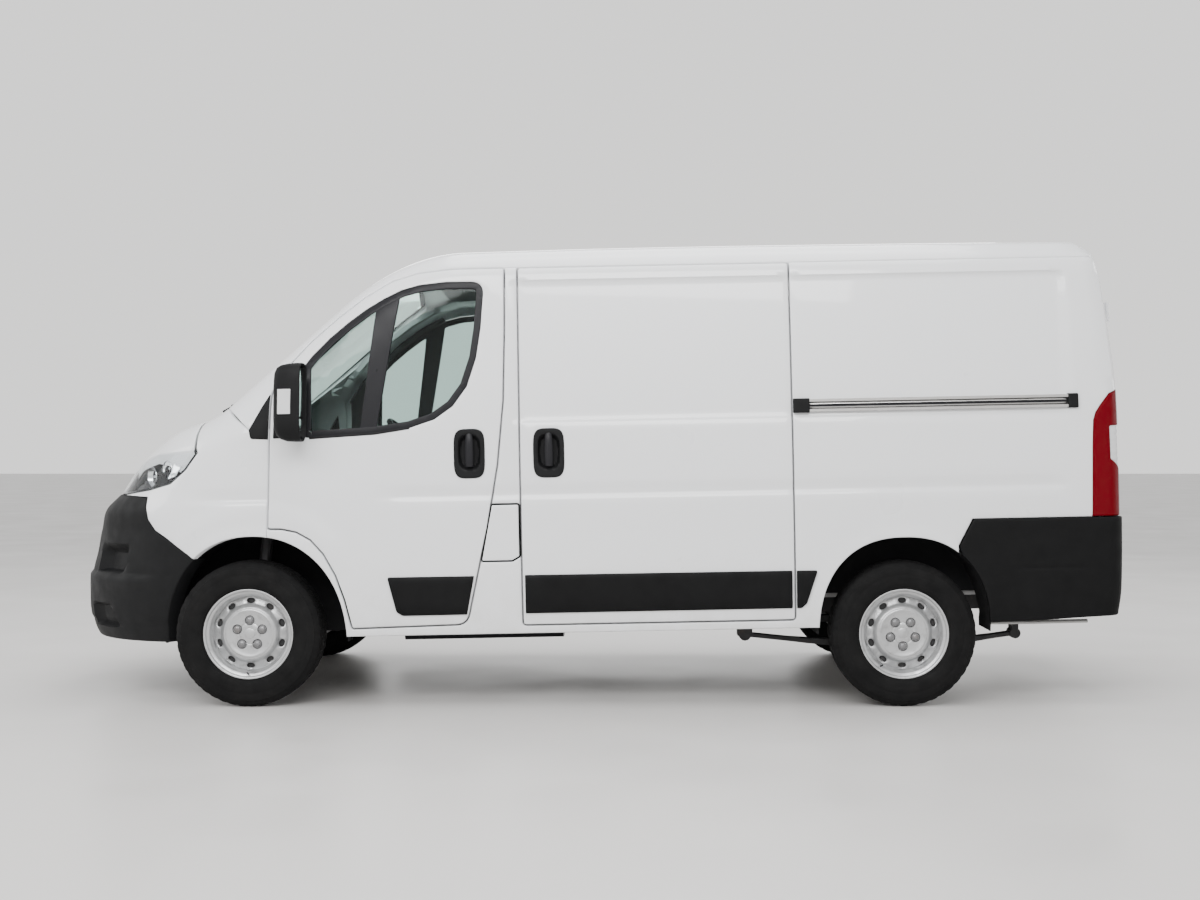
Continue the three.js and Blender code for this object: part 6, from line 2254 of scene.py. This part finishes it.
def make_lining():
    """Headliner, pillar trims, sun visors, seat belts and the cab's floor mat."""
    front = [(770, 0), (775, 400), (785, 600), (840, 720)]
    half = np.array(front + [(1000, 780), (1215, 780)], float)
    headliner = np.concatenate([half, (half * np.array([1, -1]))[::-1][:-1]])
    panel("headliner", Top(1300.0), [dense(headliner, 24)], HEADLINER, (), 84,
        lambda x, y: 4 * np.cos(y / 140.0) ** 2, roll=0, proud=-64, spacing=30, slot="cab_trim")
    for sign, name in ((-1, "left"), (1, "right")):
        top_points = on_side([(150, 1440), (260, 1600), (421, 1748), (560, 1846), (690, 1915)], sign)
        inside = np.array([(x + 30, y - sign * 66, z - 8) for x, y, z in top_points])
        mesh_piece(f"pillar_trim_{name}", *tube(inside, np.array([[26, 20]] * 5, float), 14, up=(0, sign, 0)),
            PALE_TRIM, slot="cab_trim")
        visor_y = sorted((sign * 160, sign * 560))
        visor = rectangle(800, 945, visor_y[0], visor_y[1], 30)
        panel(f"sun_visor_{name}", Top(1300.0), [dense(visor, 14)], HEADLINER, (), 104, roll=3, proud=-88,
            spacing=24, slot="cab_trim")
        belt = side_map(sign).at(np.array([(1195, 1640), (1192, 1400), (1196, 1150), (1200, 900),
                    (1204, 640)], float), 106.0)
        mesh_piece(f"seat_belt_{name}", *tube(belt, np.array([[23, 1.4]] * 5, float), 10, up=(0, sign, 0)),
            FABRIC_PLAIN, slot="seat_fabric")
    mat = block((470, -850, 470.5), (1215, 850, 484), 5)
    mesh_piece("cab_floor_mat", *mat, RUBBER_SEAL, slot="cab_trim")


def wipers():
    """Two wipers parked along the foot of the screen."""
    glass = Top(1250.0)
    for k, (pivot, tip) in enumerate((((-250, 560), (-196, -20)), ((-268, -60), (-186, -610)))):
        foot = on_top([pivot], 1150.0)[0]
        line = np.array([np.array(pivot) + (np.array(tip) - np.array(pivot)) * t
                for t in np.linspace(0.30, 1, 12)])
        line[:, 0] += 26 * np.sin(np.linspace(0, math.pi, 12))
        blade = glass.at(line, -7.0)
        mesh_piece(f"wiper_blade_{k}", *tube(blade, np.array([[5.0, 6.0]] * 12, float), 8), RUBBER_SEAL,
            slot="black_plastic")
        arm_line = np.array([pivot, (pivot[0] + 4, pivot[1] + (tip[1] - pivot[1]) * 0.2), line[4], line[6]])
        lift = np.array([-4.0, -14.0, -20.0, -15.0])
        arm = glass.at(arm_line, lift)
        mesh_piece(f"wiper_arm_{k}", *tube(arm, np.array([[11, 6], [10, 5], [7, 4], [5, 4]], float), 10),
            BLACK_SMOOTH, slot="black_plastic")
        v, f = lathe([(0.01, -12), (11, -11), (15, -6), (16, 8), (0.01, 8)], 20)
        mesh_piece(f"wiper_pivot_{k}", shifted(np.stack([v[:, 0], v[:, 2], -v[:, 1]], 1),
                foot + np.array([0, 0, 4])), f, BLACK_SMOOTH, slot="black_plastic")


make_seats()
make_dash()
make_steering_wheel()
make_lining()
wipers()


def arch_backs():
    """Dark inner walls of the rear wheel arches."""
    for sign, name in ((-1, "left"), (1, "right")):
        edge = REAR_ARCH.outline(14, 50)
        edge = edge[edge[:, 1] > 436]
        flat, tri, border, _ = skin([dense(edge, 25)], (), 40, (), ())
        ribs = 3.0 * np.cos(flat[:, 0] / 34.0) ** 6
        a = np.stack([flat[:, 0], sign * (728 + ribs), flat[:, 1]], 1)
        mesh_piece(f"rear_arch_wall_{name}", *sheet_solid(flat, tri, border, a,
                np.stack([flat[:, 0], np.full(len(flat), sign * 722.0), flat[:, 1]], 1)), LINER,
            slot="wheel_liner")


arch_backs()

# ---------------------------------------------------------------------------------------------------
# Finishes of the CAD nodes that show as they are
# ---------------------------------------------------------------------------------------------------


def load_floor():
    """Primer grey above, black underbody paint below, with scuffs from loads on top."""
    f = Finish("load_floor_paint", (0.36, 0.36, 0.355), 0.5)
    f.bump(f.noise(120, 4), 0.15, 0.0008)
    f.tint(f.ranged(f.noise(30, 7, 0.65, f.stretched((0.3, 2, 2))), 0.5, 0.75, 0.0, 0.6), (0.20, 0.195, 0.19))
    f.tint(f.ranged(f.height(), 0.478, 0.470), (0.018, 0.018, 0.018))
    f.rough(f.ranged(f.noise(15, 4), 0.3, 0.7, 0.4, 0.62))
    return f.material


LOAD_FLOOR = load_floor()
BULKHEAD = plastic("ribbed_bulkhead_board", (0.16, 0.165, 0.17), 0.7, 300)
CAD_FINISHES = {
    "floor": LOAD_FLOOR,
    "bulkhead": BULKHEAD,
    "front_structure": LINER,
    "engine": CAST,
    "chassis_rails": UNDERBODY,
    "exhaust": EXHAUST,
    "fuel_tank": BLACK_SMOOTH,
    "front_subframe": UNDERBODY,
    "rear_axle": UNDERBODY,
    "knuckle_left": CAST,
    "knuckle_right": CAST,
}
for node, material in CAD_FINISHES.items():
    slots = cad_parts[node].material_slots
    for place in slots:
        place.material = material

# ---------------------------------------------------------------------------------------------------
# Stage
# ---------------------------------------------------------------------------------------------------


FLOOR_HALF = 60.0
LOW_SKY = (0.32, (0.86, 0.855, 0.845, 1))
HIGH_SKY = (0.95, (0.34, 0.345, 0.355, 1))
SKY_STRENGTH = 1.52
# Name, place, target, size and watts of each soft light.
SOFTBOXES = (
    ("key_softbox", (-1.5, -7.5, 5.2), (0, 0, 0.9), (8.0, 2.6), 640),
    ("overhead_softbox", (0.4, 0.0, 6.2), (0.2, 0, 0), (8.5, 4.5), 460),
    ("front_softbox", (-8.5, -1.5, 3.6), (-1.5, 0, 1.0), (3.5, 3.5), 150),
    ("rear_softbox", (8.5, 1.0, 3.4), (1.5, 0, 1.0), (3.5, 3.5), 140),
    ("far_softbox", (0.5, 8.5, 4.2), (0, 0, 1.0), (7.0, 3.0), 180),
)
# The photo's camera, from the wheels and the outline; the shifts are pixels of a frame 1200 wide.
PHOTO_WIDTH = 1200
CAMERA_LENS = 49.2
CAMERA_SHIFT = (-25, -5)
CAMERA_PLACE = (AXLE + 1.7226, -8.49, 1.198)


def make_stage():
    floor_mesh = bpy.data.meshes.new("studio_floor")
    size = FLOOR_HALF
    floor_mesh.from_pydata([(-size, -size, 0), (size, -size, 0), (size, size, 0), (-size, size, 0)], [],
        [(0, 1, 2, 3)])
    floor = bpy.data.objects.new("studio_floor", floor_mesh)
    bpy.context.scene.collection.objects.link(floor)
    f = Finish("pale_floor", (0.60, 0.585, 0.57), 0.33)
    f.rough(f.ranged(f.noise(1.3, 4), 0.3, 0.7, 0.28, 0.42))
    f.tint(f.ranged(f.noise(0.7, 4), 0.4, 0.7, 0.0, 0.2), (0.54, 0.53, 0.515))
    floor_mesh.materials.append(f.material)
    world = bpy.data.worlds.new("studio")
    bpy.context.scene.world = world
    world.use_nodes = True
    tree = world.node_tree
    ground = tree.nodes["Background"]
    coords = tree.nodes.new("ShaderNodeTexCoord")
    split = tree.nodes.new("ShaderNodeSeparateXYZ")
    ramp = tree.nodes.new("ShaderNodeValToRGB")
    tree.links.new(coords.outputs["Generated"], split.inputs["Vector"])
    tree.links.new(split.outputs["Z"], ramp.inputs["Fac"])
    tree.links.new(ramp.outputs["Color"], ground.inputs["Color"])
    for stop, (position, colour) in zip(ramp.color_ramp.elements, (LOW_SKY, HIGH_SKY)):
        stop.position, stop.color = position, colour
    ground.inputs["Strength"].default_value = SKY_STRENGTH

    for name, place, target, (length, depth), power in SOFTBOXES:
        data = bpy.data.lights.new(name, "AREA")
        data.shape = "RECTANGLE"
        data.size, data.size_y = length, depth
        data.energy = power
        lamp = bpy.data.objects.new(name, data)
        bpy.context.scene.collection.objects.link(lamp)
        lamp.location = place
        lamp.rotation_euler = (Vector(target) - Vector(place)).to_track_quat("-Z", "Y").to_euler()

    camera_data = bpy.data.cameras.new("camera")
    camera_data.lens = CAMERA_LENS
    camera_data.sensor_width = 36.0
    camera_data.shift_x = CAMERA_SHIFT[0] / PHOTO_WIDTH
    camera_data.shift_y = CAMERA_SHIFT[1] / PHOTO_WIDTH
    camera = bpy.data.objects.new("camera", camera_data)
    bpy.context.scene.collection.objects.link(camera)
    camera.location = CAMERA_PLACE
    camera.rotation_euler = (math.pi / 2, 0, 0)
    bpy.context.scene.camera = camera


make_stage()
